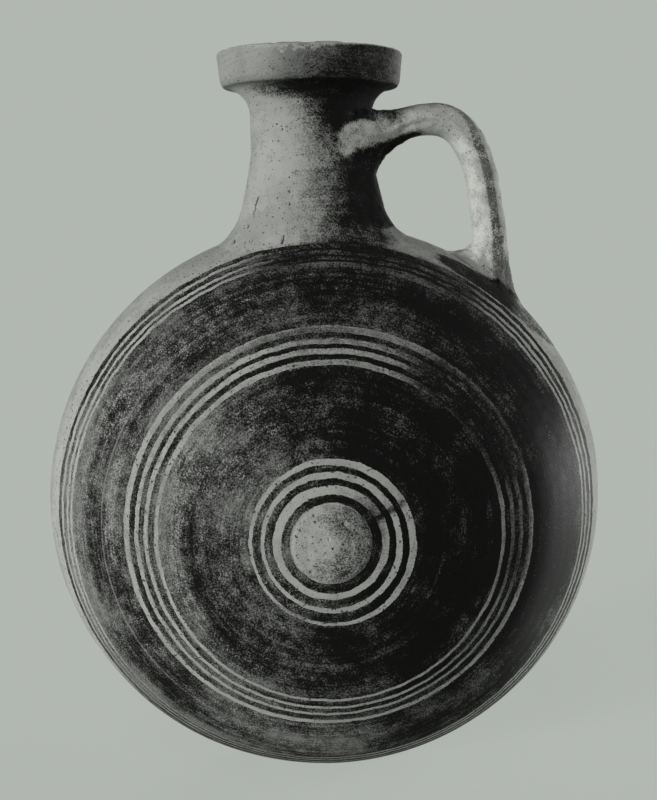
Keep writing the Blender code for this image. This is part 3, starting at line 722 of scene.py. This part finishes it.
def rod(share, scale):
    """Loops of the handle square to its centre line: rounded ovals whose angle 0 is the outer
    side, with a pulled ridge and a hollow beside it that fade down the handle."""
    centre, along = handle_curve(share)
    angle = around(HANDLE_SIDES)
    outward = np.stack([-along[:, 2], np.zeros(len(along)), along[:, 0]], axis=-1)
    share = np.asarray(share)[:, None]
    thickness = HANDLE_TOP_THICKNESS + (HANDLE_FOOT_THICKNESS - HANDLE_TOP_THICKNESS) * share
    c, s = np.cos(angle), np.sin(angle)
    power = HANDLE_SECTION_POWER
    reach = np.asarray(scale).reshape(-1, 1) * (np.abs(c) ** power + np.abs(s) ** power) ** (-1.0 / power)
    ridge_angle = math.radians(HANDLE_RIDGE_ANGLE) - 0.5 * share
    hollow_angle = ridge_angle - 0.34
    ridge = bell(turned_from(ridge_angle, angle), 0.16) - 0.8 * bell(turned_from(hollow_angle, angle), 0.2)
    reach = reach * (1.0 + HANDLE_RIDGE * ridge * (1.0 - smooth(0.30, 0.62, share)))
    loops = (centre[:, None] + outward[:, None] * (reach * c * thickness / 2.0)[..., None]
             + np.array((0.0, 1.0, 0.0)) * (reach * s * HANDLE_WIDTH / 2.0)[..., None])
    uneven = HANDLE_UNEVENNESS * hills(loops, 0.016, 31) + 0.00008 * hills(loops, 0.005, 32)
    return loops + (loops - centre[:, None]) * (uneven / HANDLE_MEAN_RADIUS)[..., None], along


def handle_shares():
    """Shares of the handle's length at its rows, running a little past both ends."""
    return np.linspace(-HANDLE_OVERRUN, 1.0 + HANDLE_OVERRUN, HANDLE_ROWS)


def handle():
    """Pulled rod on one bend; each end runs a little into its wad and draws in."""
    share = handle_shares()
    past_end = smooth(0.0, HANDLE_OVERRUN, -share) + smooth(1.0, 1.0 + HANDLE_OVERRUN, share)
    return skin("handle_clay", rod(share, 1.0 - 0.06 * past_end)[0], joined=False)


def outer_band(gap, share):
    """Share of paint at an angle from the handle's outer side: a band down each outer corner
    that starts thin along the top of the bend, and bare clay along the middle; the band is partly
    painted shade, where the rod's side turns from the light."""
    low, high = (np.interp(share, BAND_SHARES, row) for row in (BAND_LOW, BAND_HIGH))
    band = smooth(low - 0.12, low + 0.16, gap) * (1.0 - smooth(high, high + 0.26, gap))
    return band * (0.46 + 0.12 * smooth(0.22, 0.46, share))


def band_mark(share):
    """Paint round the handle at shares of its length."""
    return outer_band(np.abs(turned_from(0.0, around(HANDLE_SIDES))), share)


def wad(name, rod_shares, into_sign, foot, fullness, ridge):
    """Lump of clay from the handle's end to a foot smoothed out on a wall in finger ridges.

    It starts sunk in the handle, leaves it along its direction and lands along the wall by a
    cubic.  The foot is a function of an angle, a share of its spread and a lift.  Fullness
    shortens the cubic's pulls at the two sides, and ridge is the height of the finger ridges.
    """
    angle = around(HANDLE_SIDES)
    lead = np.linspace(0.0, 1.0, WAD_LEAD_ROWS)
    lead_share = rod_shares[0] + (rod_shares[1] - rod_shares[0]) * lead
    loops, along = rod(lead_share, 0.95 + 0.05 * smooth(0.0, 1.0, lead))
    rim = loops[-1][None]
    into = along[-1] * into_sign
    outer = foot(angle, 1.0, -SINK)
    spread = unit(outer - foot(angle, 1.0 - NUDGE, -SINK))
    bend = np.linalg.norm(outer - rim, axis=-1, keepdims=True)
    bend = bend * (1.0 - fullness * np.sin(angle) ** 2)[..., None]
    share = np.linspace(0.0, 1.0, WAD_ROWS)[1:, None, None]
    flare = hermite(rim, into * bend, outer, spread * bend, share)
    uneven = WAD_UNEVENNESS * hills(flare, 0.006, 41) + 0.00020 * hills(flare, 0.0022, 42)
    uneven += ridge * np.sin(WAD_FINGERS * angle + 2.5 * hills(flare, 0.014, 43))
    fade = np.sin(np.pi * np.clip(share[..., 0], 0.0, 1.0)) ** 0.7
    middle = foot(angle, 0.0, -WAD_BASE_DEPTH).mean(axis=(0, 1))
    flare = flare + unit(flare - middle) * (uneven * fade)[..., None]
    base = np.concatenate([foot(angle, step, -WAD_BASE_DEPTH) for step in (0.94, 0.7, 0.4, 0.15)])
    return skin(name, np.concatenate([loops, flare, base]), joined=False)


def upper_wad_foot(angle, share, lift):
    """Spread of the upper wad round the neck, on the neck's own surface, with a ragged edge."""
    ragged = 1.0 + 0.05 * np.sin(5.0 * angle + 1.0) + 0.02 * np.sin(11.0 * angle)
    height = np.where(np.cos(angle) > 0.0, UPPER_WAD_RISE, UPPER_WAD_DROP * ragged)
    z = SHOULDER_Z + HANDLE_START_HEIGHT + height * share * np.cos(angle)
    turn = math.radians(UPPER_WAD_HALF_ANGLE) * ragged * share * np.sin(angle)
    return around_neck(turn, neck_radius(z) + lift, z)


def lower_wad_foot(angle, share, lift):
    """Spread of the lower wad on the shoulder: outer side at angle 0, with a ragged edge."""
    ragged = 1.0 + 0.04 * np.sin(4.0 * angle + 2.0) + 0.025 * np.sin(9.0 * angle + 1.0)
    outer_reach = LOWER_WAD_OUTER + 0.1 * WAD_FEATHER
    inner_reach = LOWER_WAD_INNER + 0.2 * WAD_FEATHER
    reach = np.where(np.cos(angle) > 0.0, outer_reach, inner_reach)
    x = HANDLE_FOOT_X + reach * ragged * share * np.cos(angle)
    y = (LOWER_WAD_HALF_WIDTH + 0.4 * WAD_FEATHER) * ragged * share * np.sin(angle)
    normal = unit(as_points(x / BODY_RADIUS ** 2, y / BODY_HALF_DEPTH ** 2,
                            (body_height(x, y) - BODY_Z) / BODY_RADIUS ** 2))
    return as_points(x, y, body_height(x, y)) + normal * lift


def ring_places(where, angle, distance):
    """Distance from the axis at which each place would lie if the rings were true circles,
    and by how much the pale bands widen there at each edge."""
    table = np.array(RING_WANDER).T
    towards, upwards, oval, slanted = (np.interp(distance, table[0], row) for row in table[1:])
    wander = towards * np.cos(angle) + upwards * np.sin(angle) + 0.00010 * hills(where, 0.04, 51)
    wander += oval * np.cos(2.0 * angle) + slanted * np.sin(2.0 * angle)
    table = np.array(RING_WIDENING).T
    towards, upwards = (np.interp(distance, table[0], row) for row in table[1:])
    widening = towards * np.cos(angle) + upwards * np.sin(angle)
    return distance - wander, widening + 0.00007 * hills(where, 0.02, 52)


def paint_marks(obj):
    """Gives each vertex what the finishes read: its place among the painted rings, how worn,
    grimy, washed, pale, burnished, grooved and painted over it is, with painted light and shade
    folded into the wear, grime, wash, pale and paint marks, and its place on the wheel."""
    where = positions(obj.data)
    angle, distance = from_axis(where)
    true, widening = ring_places(where, angle, distance)
    seen_angle = np.where(where[:, 1] < 0.0, angle, math.pi - angle + BACK_TURN)
    mark(obj, "ring_inner", true + widening)
    mark(obj, "ring_outer", true - widening)
    # Wear, with painted light on the lit left and painted shade on the right
    mark(obj, "wear_and_light", patches(seen_angle, distance, WEAR_AND_LIGHT_PLACES))
    # The neck's painted shade and stain
    stained_and_shaded = smeared_over(where, neck_shade_and_stain(where))
    # Grime, cut grime, and painted shade from the patches and the neck
    grime_and_shade = patches(seen_angle, distance, GRIME_AND_SHADE_PLACES) + stained_and_shaded + CUT_GRIME * cut_depth(where)
    mark(obj, "grime_and_shade", grime_and_shade)
    # Wash on the collar, deepened as painted shade
    mark(obj, "wash_and_shade", collar_wash_and_shade(where))
    # The pale mark is painted light on the upper wad's lit smear
    mark(obj, "pale", lit_smear(where) * (1.0 - smooth(0.024, 0.040, where[:, 0])))
    mark(obj, "burnish", patches(angle, distance, BURNISHED_PLACES))
    mark(obj, "groove", patches(seen_angle, distance, GROOVED_PLACES))
    # Paint beside the handle's foot, partly painted shade
    mark(obj, "paint", shoulder_paint_and_shade(angle, distance, where))
    wheel = as_points(distance / STREAK_SPACING, STREAK_TURN * np.cos(angle), STREAK_TURN * np.sin(angle))
    mark(obj, "wheel", wheel, "FLOAT_VECTOR")


def neck_azimuth(where):
    """Degrees round the neck from its front, towards the handle, and distance from its axis."""
    x = where[..., 0] - leaned(where[..., 2])
    return np.degrees(np.arctan2(x, -where[..., 1])), np.hypot(x, where[..., 1])


def shade_under_wad(where):
    """1 on the lower side of the upper wad, painted dark as shade, under a line that rises towards
    the handle.
    """
    line = SHOULDER_Z + np.interp(where[:, 0], SHADE_UNDER_WAD_X, SHADE_UNDER_WAD_LINE)
    return smooth(0.0011, -0.0015, where[:, 2] - line) * (1.0 - smooth(0.036, 0.044, where[:, 0]))


def lit_smear(where):
    """1 where the upper wad's smeared clay is painted pale, as light on its lit face: from a soft start
    on the neck, between the painted shade of its lower side and a ragged line under the painted
    shade and stain along the top."""
    ragged = 0.0006 * hills(where, 0.004, 72)
    over = where[:, 2] - SHOULDER_Z + ragged
    start = smooth(0.0022, 0.0088, where[:, 0] + 2.0 * ragged)
    low, top = (np.interp(where[:, 0], SMEAR_X, row) for row in (SMEAR_LOW, SMEAR_TOP))
    return start * smooth(0.0016, -0.0016, over - top) * smooth(-0.0024, 0.0022, over - low)


def smeared_over(where, stain):
    """The neck's painted shade and stain under the pale smear of painted light, which keeps a few
    dark grains, and thinner beside it.
    """
    beside = bell(where[:, 0] - 0.004, 0.006) * bell(where[:, 2] - SHOULDER_Z - 0.027, 0.008)
    return stain * (1.0 - 0.82 * lit_smear(where)) * (1.0 - 0.34 * beside)


def neck_shade_and_stain(where):
    """Dark stain and painted shade on the handle's side of the neck, the side turned from the
    light, and painted shadow under the collar: it sets in on the front, from further and further
    left towards the collar, and is full on the handle's side."""
    azimuth, reach = neck_azimuth(where)
    z = where[:, 2]
    starts, full = (np.interp(z, SHADE_AND_STAIN_HEIGHTS, row) for row in (SHADE_AND_STAIN_STARTS, SHADE_AND_STAIN_FULL))
    stain = np.clip((azimuth - starts) / (full - starts), 0.0, 1.0) ** 1.3
    on_foot = 1.0 - smooth(SHOULDER_Z - 0.003, SHOULDER_Z + 0.002, z)
    stain *= 1.0 - smooth(120.0 - 70.0 * on_foot, 150.0 - 78.0 * on_foot, azimuth)
    stain *= smooth(SHOULDER_Z - 0.012, SHOULDER_Z - 0.005, z) * (1.0 - smooth(0.042, 0.048, reach))
    on_collar = smooth(RIM_CHAMFER_Z - 0.001, RIM_CHAMFER_Z + 0.001, z)
    stain *= under_worn_rim(where, azimuth) * (reach > neck_radius(z) - 0.002)
    # The collar keeps less painted shade towards the back, where it catches the light from the right
    paler = on_collar * (0.24 + 0.42 * smooth(38.0, 74.0, azimuth))
    return stain * (1.0 - 0.25 * on_foot) * (1.0 - paler)


def under_worn_rim(where, azimuth):
    """1 below the rim's edge, 0 where it is rubbed pale: a thin ragged line, deeper in front."""
    ragged = 1.0 + 0.7 * hills(where, 0.0012, 71) + 0.6 * hills(where, 0.004, 72)
    depth = 0.0007 + 0.0020 * bell(azimuth + 8.0, 24.0) * ragged
    return smooth(depth - 0.0004, depth + 0.0004, RIM_Z - where[..., 2])


def collar_wash_and_shade(where):
    """Darker wash on the collar from the chamfer up to the worn lip, deepened as painted shade from
    the front round to the side turned from the light, a thin darker line along the chamfer, and a
    light wash inside the mouth."""
    z = where[:, 2]
    azimuth, reach = neck_azimuth(where)
    up = smooth(RIM_CHAMFER_Z - 0.003, RIM_CHAMFER_Z, z) * under_worn_rim(where, azimuth)
    up *= smooth(RIM_CHAMFER_RADIUS - 0.006, RIM_CHAMFER_RADIUS - 0.002, reach)
    # Painted shade: deeper from the front round towards the handle, away from the light, and eased where
    # the collar catches light from the right
    up *= 0.56 + 0.59 * smooth(-30.0, -4.0, azimuth) * (1.0 - 0.5 * smooth(45.0, 75.0, azimuth))
    along = 0.25 * bell(z - RIM_CHAMFER_Z, 0.0018)
    along *= smooth(RIM_CHAMFER_RADIUS - 0.004, RIM_CHAMFER_RADIUS, reach)
    return np.maximum(up + along, 0.22 * (reach < RIM_RADIUS))


def shoulder_paint_and_shade(angle, distance, where):
    """Paint down the outer corners of the handle's lower wad, and beside it on the shoulder, where it
    runs down to a narrow tip; the dark low on the wad and beside its foot is partly painted shade,
    where the wad's foot and the shoulder turn from the light."""
    degrees = np.degrees(angle)
    middle = np.interp(degrees, STRIPE_ANGLES, STRIPE_MIDDLES)
    half_width = np.interp(degrees, STRIPE_ANGLES, STRIPE_HALF_WIDTHS)
    beside = smooth(0.0018, -0.0018, np.abs(np.abs(where[:, 1]) - middle) - half_width)
    beside = beside * (1.0 - smooth(64.0, 69.0, degrees)) * (0.56 + 0.44 * smooth(45.0, 51.0, degrees))
    gap = np.abs(np.arctan2(where[:, 1], where[:, 0] - HANDLE_FOOT_X))
    off_body = distance - BODY_RADIUS
    low_down = 0.60 * (1.0 - smooth(0.006, 0.018, off_body)) * (1.0 - smooth(1.45, 1.75, gap))
    on_wad = smooth(0.0002, 0.0012, off_body)
    paint = beside * (1.0 - on_wad) + np.maximum(low_down, outer_band(gap, 1.0)) * on_wad
    return np.where(distance > PALE_BEYOND + 0.001, paint, 0.0)


class Nodes:
    """Node tree of a material or a world in the making; most calls add a node and give its
    output."""

    def __init__(self, owner):
        owner.use_nodes = True
        self.tree = owner.node_tree

    def add(self, kind, **settings):
        """New node of a kind, with its settings."""
        node = self.tree.nodes.new(kind)
        for name, value in settings.items():
            setattr(node, name, value)
        return node

    def feed(self, socket, value):
        """Joins an output to a socket, or writes a plain value in it."""
        if isinstance(value, bpy.types.NodeSocket):
            self.tree.links.new(value, socket)
        else:
            socket.default_value = value

    def maths(self, operation, first, second=0.5):
        """Result of one operation on two values; some operations read only the first."""
        node = self.add("ShaderNodeMath", operation=operation)
        self.feed(node.inputs[0], first)
        self.feed(node.inputs[1], second)
        return node.outputs[0]

    def plus(self, first, second):
        return self.maths('ADD', first, second)

    def minus(self, first, second):
        return self.maths('SUBTRACT', first, second)

    def times(self, first, second):
        return self.maths('MULTIPLY', first, second)

    def kept(self, name, output="Fac"):
        """What the vertices keep under a name."""
        return self.add("ShaderNodeAttribute", attribute_name=name).outputs[output]

    def noise(self, place, size, detail=2.0):
        """Soft noise around 0.5 whose features are about the given size."""
        node = self.add("ShaderNodeTexNoise")
        self.feed(node.inputs["Vector"], place)
        node.inputs["Scale"].default_value = 1.0 / size
        node.inputs["Detail"].default_value = detail
        return node.outputs["Fac"]

    def step(self, value, low, high, start=0.0, end=1.0):
        """Soft step from start to end as the value goes from low to high."""
        node = self.add("ShaderNodeMapRange", interpolation_type='SMOOTHSTEP')
        for socket, given in zip(node.inputs, (value, low, high, start, end)):
            self.feed(socket, given)
        return node.outputs[0]

    def blend(self, share, first, second):
        """Colour that goes from the first to the second."""
        node = self.add("ShaderNodeMix", data_type='RGBA')
        for index, given in ((0, share), (6, first), (7, second)):
            self.feed(node.inputs[index], given)
        return node.outputs[2]

    def passed(self, value, edges):
        """How many of the edges a distance has passed, each counted as a thirtieth."""
        ramp = self.add("ShaderNodeValToRGB")
        ramp.color_ramp.interpolation = 'CONSTANT'
        stops = ramp.color_ramp.elements
        stops.remove(stops[1])
        stops[0].position = 0.0
        stops[0].color = (0.0, 0.0, 0.0, 1.0)
        for count, edge in enumerate(edges, 1):
            stop = stops.new(min(max(edge / RING_SPAN, 1e-5), 1.0))
            stop.color = (count * EDGE_WORTH,) * 3 + (1.0,)
        self.feed(ramp.inputs[0], self.times(value, 1.0 / RING_SPAN))
        return ramp.outputs[0]

    def seen(self):
        """1 for rays from the camera, a mirror or glass, otherwise 0."""
        rays = self.add("ShaderNodeLightPath").outputs
        direct = self.maths('MAXIMUM', rays["Is Camera Ray"], rays["Is Glossy Ray"])
        return self.maths('MAXIMUM', direct, rays["Is Transmission Ray"])

    def show(self, share, first, second, output):
        """Sends a mix that goes from the first shader to the second to an output node."""
        mix = self.add("ShaderNodeMixShader")
        for socket, given in zip(mix.inputs, (share, first.outputs[0], second.outputs[0])):
            self.feed(socket, given)
        self.feed(self.tree.nodes[output].inputs["Surface"], mix.outputs[0])

    def bump(self, height, depth, strength):
        """Fine relief too small for the mesh: a height of 1 stands for the depth."""
        node = self.add("ShaderNodeBump")
        self.feed(node.inputs["Height"], height)
        node.inputs["Distance"].default_value = depth
        node.inputs["Strength"].default_value = strength
        return node.outputs[0]


def clay_finish(name, clay, bump_depth, burnish=0.0, speckled=0.0, grit=0.8):
    """Fired clay with painted rings, wear, grime, stains, specks and grain.

    The pale bands are where the count of inner edges passed is more than the count of outer
    edges passed.  Paint thins out and wears off where a mix of fine grain, coarse grain and
    streaks along the wheel lies high, and more so where the vertices keep more wear; that mark
    also holds painted light on the lit left and painted shade on the right.  The pale mark is
    painted light on the upper wad's lit smear, and the grime mark holds painted shade as well as
    grime.  Burnish is the gloss of the polished places, speckled adds dark specks, and grit says
    how far grime and painted shade break up into grains.
    """
    material = bpy.data.materials.new(name)
    finish = Nodes(material)
    add, times, less = finish.plus, finish.times, finish.minus
    noise, step, blend = finish.noise, finish.step, finish.blend
    kept, passed = finish.kept, finish.passed
    place = finish.add("ShaderNodeTexCoord").outputs["Object"]
    on_wheel = kept("wheel", "Vector")
    fine = step(noise(place, FINE_GRAIN), 0.30, 0.70)
    grain = step(noise(place, COARSE_GRAIN, 6.0), 0.27, 0.73)
    wheel = step(noise(on_wheel, 1.0), 0.27, 0.73)
    drift = noise(on_wheel, 8.0, 4.0)
    cloud = add(times(noise(place, CLOUD_LENGTH, 5.0), 0.55), times(drift, 0.45))
    mottle = add(add(times(fine, 0.52), times(grain, 0.28)), times(wheel, 0.20))
    # Wear, which also holds painted light and painted shade
    wear_and_light = kept("wear_and_light")
    off_groove = finish.maths('ABSOLUTE', less(kept("ring_inner"), GROOVE_DISTANCE))
    groove = times(kept("groove"), step(off_groove, 0.0001, 0.0005, 1.0, 0.0))

    ragged = times(less(noise(place, PAINT_EDGE_LENGTH, 3.0), 0.5), PAINT_EDGE_WANDER)
    ragged = add(ragged, times(less(fine, 0.5), 0.00022))
    inner_edges = [band[0] for band in PALE_BANDS] + [PALE_BEYOND]
    outer_edges = [band[1] for band in PALE_BANDS]
    inner_passed = passed(add(kept("ring_inner"), ragged), inner_edges)
    outer_passed = passed(add(kept("ring_outer"), ragged), outer_edges)
    reserved = finish.maths('GREATER_THAN', less(inner_passed, outer_passed), 0.5 * EDGE_WORTH)
    brushed = step(add(kept("paint"), times(less(mottle, 0.5), 0.55)), 0.24, 0.76)
    painted = finish.maths('MAXIMUM', less(1.0, reserved), brushed)

    thin = add(times(wear_and_light, 1.15), times(groove, 0.5))
    thin = add(thin, add(times(less(cloud, 0.5), 2.6), times(less(mottle, 0.5), 1.35)))
    paint_tone = blend(step(thin, -0.12, 1.0), DENSE_PAINT, THIN_PAINT)
    bare = step(add(times(mottle, 0.9), times(wear_and_light, 0.35)), 0.74, 0.86)

    # Painted light: the lit smear on the upper wad turns the clay near white
    clay = blend(kept("pale"), clay, LIT_SMEAR_TONE)
    stain = step(add(cloud, times(grain, 0.12)), 0.46, 0.68, 0.0, 0.5)
    clay_tone = blend(add(stain, times(fine, 0.22)), clay, CLAY_STAIN)
    # Wash on the collar, deepened as painted shade on its side away from the light
    wash_and_shade = times(kept("wash_and_shade"), step(mottle, 0.3, 0.7, 1.2, 0.5))
    clay_tone = blend(wash_and_shade, clay_tone, WASH_AND_SHADE_TONE)
    # Grime and painted shade darken the clay
    dirt_and_shade = step(add(kept("grime_and_shade"), times(less(mottle, 0.5), grit)), 0.03, 0.85)
    clay_tone = blend(dirt_and_shade, clay_tone, SHADE_AND_GRIME_TONE)
    speck = add(noise(place, SPECK_LENGTH, 1.0), times(cloud, 0.12))
    speck = step(speck, 0.755 - speckled, 0.79 - speckled)
    clay_tone = blend(times(speck, 0.85), clay_tone, SPECK)

    cover = times(painted, less(1.0, times(bare, 0.7)))
    shader = finish.tree.nodes["Principled BSDF"].inputs
    finish.feed(shader["Base Color"], blend(cover, clay_tone, paint_tone))
    shader["Specular IOR Level"].default_value = MATT_SPECULAR
    smoother = SPECULAR_SMOOTHS * MATT_SPECULAR
    if burnish > 0.0:
        polished = add(MATT_SPECULAR, times(kept("burnish"), burnish))
        finish.feed(shader["Specular IOR Level"], polished)
        smoother = times(polished, SPECULAR_SMOOTHS)
    roughness = add(less(MATT_ROUGHNESS, smoother), times(less(grain, 0.5), 0.12))
    finish.feed(shader["Roughness"], roughness)
    height = add(add(times(fine, 0.35), times(grain, 0.35)), times(wheel, 0.25))
    height = add(less(height, times(speck, 0.9)), times(cover, 0.2))
    finish.feed(shader["Normal"], finish.bump(height, bump_depth, RELIEF_STRENGTH))
    return material


def mark_again(obj, name, values):
    """Writes new values over a mark that the vertices keep already."""
    obj.data.attributes[name].data.foreach_set("value", values.astype(np.float32))


def shade_and_stain_onto_handle(piece):
    """The neck's painted shade and stain as they run out along the wad and the handle, and the
    painted shade on the wad's dark underside.
    """
    where = positions(piece.data)
    x = where[:, 0]
    fall = 1.0 - 0.40 * smooth(0.016, 0.021, x) - 0.60 * smooth(0.027, 0.036, x)
    run_out = fall * smeared_over(where, neck_shade_and_stain(where))
    # Painted shade on the wad's underside, and the neck's painted shade and stain running out
    mark_again(piece, "grime_and_shade", np.maximum(0.95 * shade_under_wad(where), run_out))


def dress(obj, material, slot, *nodes):
    """Puts a finished piece on the jug in place of the model's nodes."""
    obj.data.materials.clear()
    obj.data.materials.append(material)
    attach(obj, "root")
    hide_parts(*nodes)


def build_jug():
    """Makes the ten pieces, marks their paint, wear, stains and painted light and shade, and dresses them.
    """
    seam_gap = CLEARANCE * math.hypot(BODY_WALL, 2.0 * SEAM_SLANT) / BODY_WALL
    front = bowl("front_bowl_clay", -1.0, 0.0)
    back = bowl("back_bowl_clay", 1.0, seam_gap)
    seam = seam_coil()
    cut_neck_hole((front, back, seam))
    front_plug = boss("front_boss_clay", -1.0, 61)
    back_plug = boss("back_boss_clay", 1.0, 64)
    tube = neck()
    base_coil = neck_base_coil()
    grip = handle()
    upper = wad("handle_upper_wad_clay", (0.09, 0.0), -1.0, upper_wad_foot, fullness=0.6, ridge=0.00030)
    lower = wad("handle_lower_wad_clay", (0.92, 1.0), 1.0, lower_wad_foot, fullness=0.0, ridge=0.00008)

    finishes = {
        "painted_clay": clay_finish(
            "painted_body_clay", CLAY, 0.00018, burnish=0.40, speckled=0.026, grit=0.42),
        "pale_clay": clay_finish("pale_boss_clay", CLAY, 0.0003, speckled=0.02),
        "raw_clay": clay_finish("raw_inside_clay", CLAY, 0.0004),
        "neck_clay": clay_finish("neck_clay_slip", CLAY, 0.0003),
        # The handle's clay is the paler copy, painted light
        "handle_clay": clay_finish("handle_clay_slip", LIT_HANDLE_CLAY, 0.0003)}
    for piece, slot, node in (
            (front, "painted_clay", "front_bowl"),
            (back, "painted_clay", "back_bowl"),
            (front_plug, "pale_clay", "front_boss"),
            (back_plug, "pale_clay", "back_boss"),
            (seam, "raw_clay", "seam_coil"),
            (tube, "neck_clay", "neck"),
            (base_coil, "neck_clay", "neck_base_coil"),
            (grip, "handle_clay", "handle"),
            (upper, "handle_clay", "handle_upper_wad"),
            (lower, "handle_clay", "handle_lower_wad")):
        paint_marks(piece)
        dress(piece, finishes[slot], slot, node)
    # Painted shade and stain from the neck run out onto the upper wad and the handle
    shade_and_stain_onto_handle(upper)
    shade_and_stain_onto_handle(grip)
    # The handle's painted band, partly painted shade
    mark_again(grip, "paint", with_ends(band_mark(handle_shares()[:, None])))


def pale_backdrop():
    """World that shows as the pale background to the camera and in reflections, and lights the
    jug only weakly from all round."""
    world = bpy.data.worlds.new("studio")
    bpy.context.scene.world = world
    sky = Nodes(world)
    backdrop = sky.tree.nodes["Background"]
    backdrop.inputs["Color"].default_value = BACKGROUND
    fill = sky.add("ShaderNodeBackground")
    fill.inputs["Color"].default_value = (1.0, 1.0, 1.0, 1.0)
    fill.inputs["Strength"].default_value = FILL_STRENGTH
    sky.show(sky.seen(), fill, backdrop, "World Output")


def pale_floor():
    """Plain floor that shows as the background's own tone, a little darker in the jug's shadow."""
    corners = [(x * FLOOR_REACH, y * FLOOR_REACH, 0.0) for x, y in ((-1, -1), (1, -1), (1, 1), (-1, 1))]
    mesh = bpy.data.meshes.new("floor")
    mesh.from_pydata(corners, [], [(0, 1, 2, 3)])
    floor = bpy.data.objects.new("floor", mesh)
    bpy.context.scene.collection.objects.link(floor)
    material = bpy.data.materials.new("pale_floor")
    finish = Nodes(material)
    matt = finish.tree.nodes["Principled BSDF"]
    matt.inputs["Base Color"].default_value = FLOOR_COLOUR
    matt.inputs["Roughness"].default_value = 1.0
    matt.inputs["Specular IOR Level"].default_value = 0.0
    glow = finish.add("ShaderNodeEmission")
    glow.inputs["Color"].default_value = BACKGROUND
    glow.inputs["Strength"].default_value = FLOOR_GLOW
    finish.show(finish.times(finish.seen(), FLOOR_GLOW_SHARE), matt, glow, "Material Output")
    mesh.materials.append(material)


def lamp(name, azimuth, elevation, strength, softness):
    """Distant lamp that shines from an azimuth and an elevation, as wide as its softness."""
    light = bpy.data.lights.new(name, 'SUN')
    light.energy = strength * math.pi
    light.angle = math.radians(softness)
    obj = bpy.data.objects.new(name, light)
    turn, rise = math.radians(azimuth), math.radians(elevation)
    source = Vector((math.sin(turn) * math.cos(rise), -math.cos(turn) * math.cos(rise), math.sin(rise)))
    obj.rotation_mode = 'QUATERNION'
    obj.rotation_quaternion = source.to_track_quat('Z', 'Y')
    bpy.context.scene.collection.objects.link(obj)


def camera():
    """Camera at the photograph's angle: above the middle, turned and rolled slightly."""
    data = bpy.data.cameras.new("camera")
    data.sensor_width = SENSOR_WIDTH
    data.lens = FOCAL_PIXELS / PHOTO_HEIGHT * SENSOR_WIDTH
    obj = bpy.data.objects.new("camera", data)
    turn = (Matrix.Rotation(math.radians(-CAMERA_YAW), 4, 'Z')
            @ Matrix.Rotation(math.radians(90.0 - CAMERA_PITCH_DOWN), 4, 'X')
            @ Matrix.Rotation(math.radians(-CAMERA_ROLL), 4, 'Z'))
    obj.matrix_world = Matrix.Translation(CAMERA_PLACE) @ turn
    bpy.context.scene.collection.objects.link(obj)
    bpy.context.scene.camera = obj


build_jug()
pale_backdrop()
pale_floor()
for lamp_settings in LAMPS:
    lamp(*lamp_settings)
camera()
bpy.context.scene.view_settings.view_transform = 'Standard'
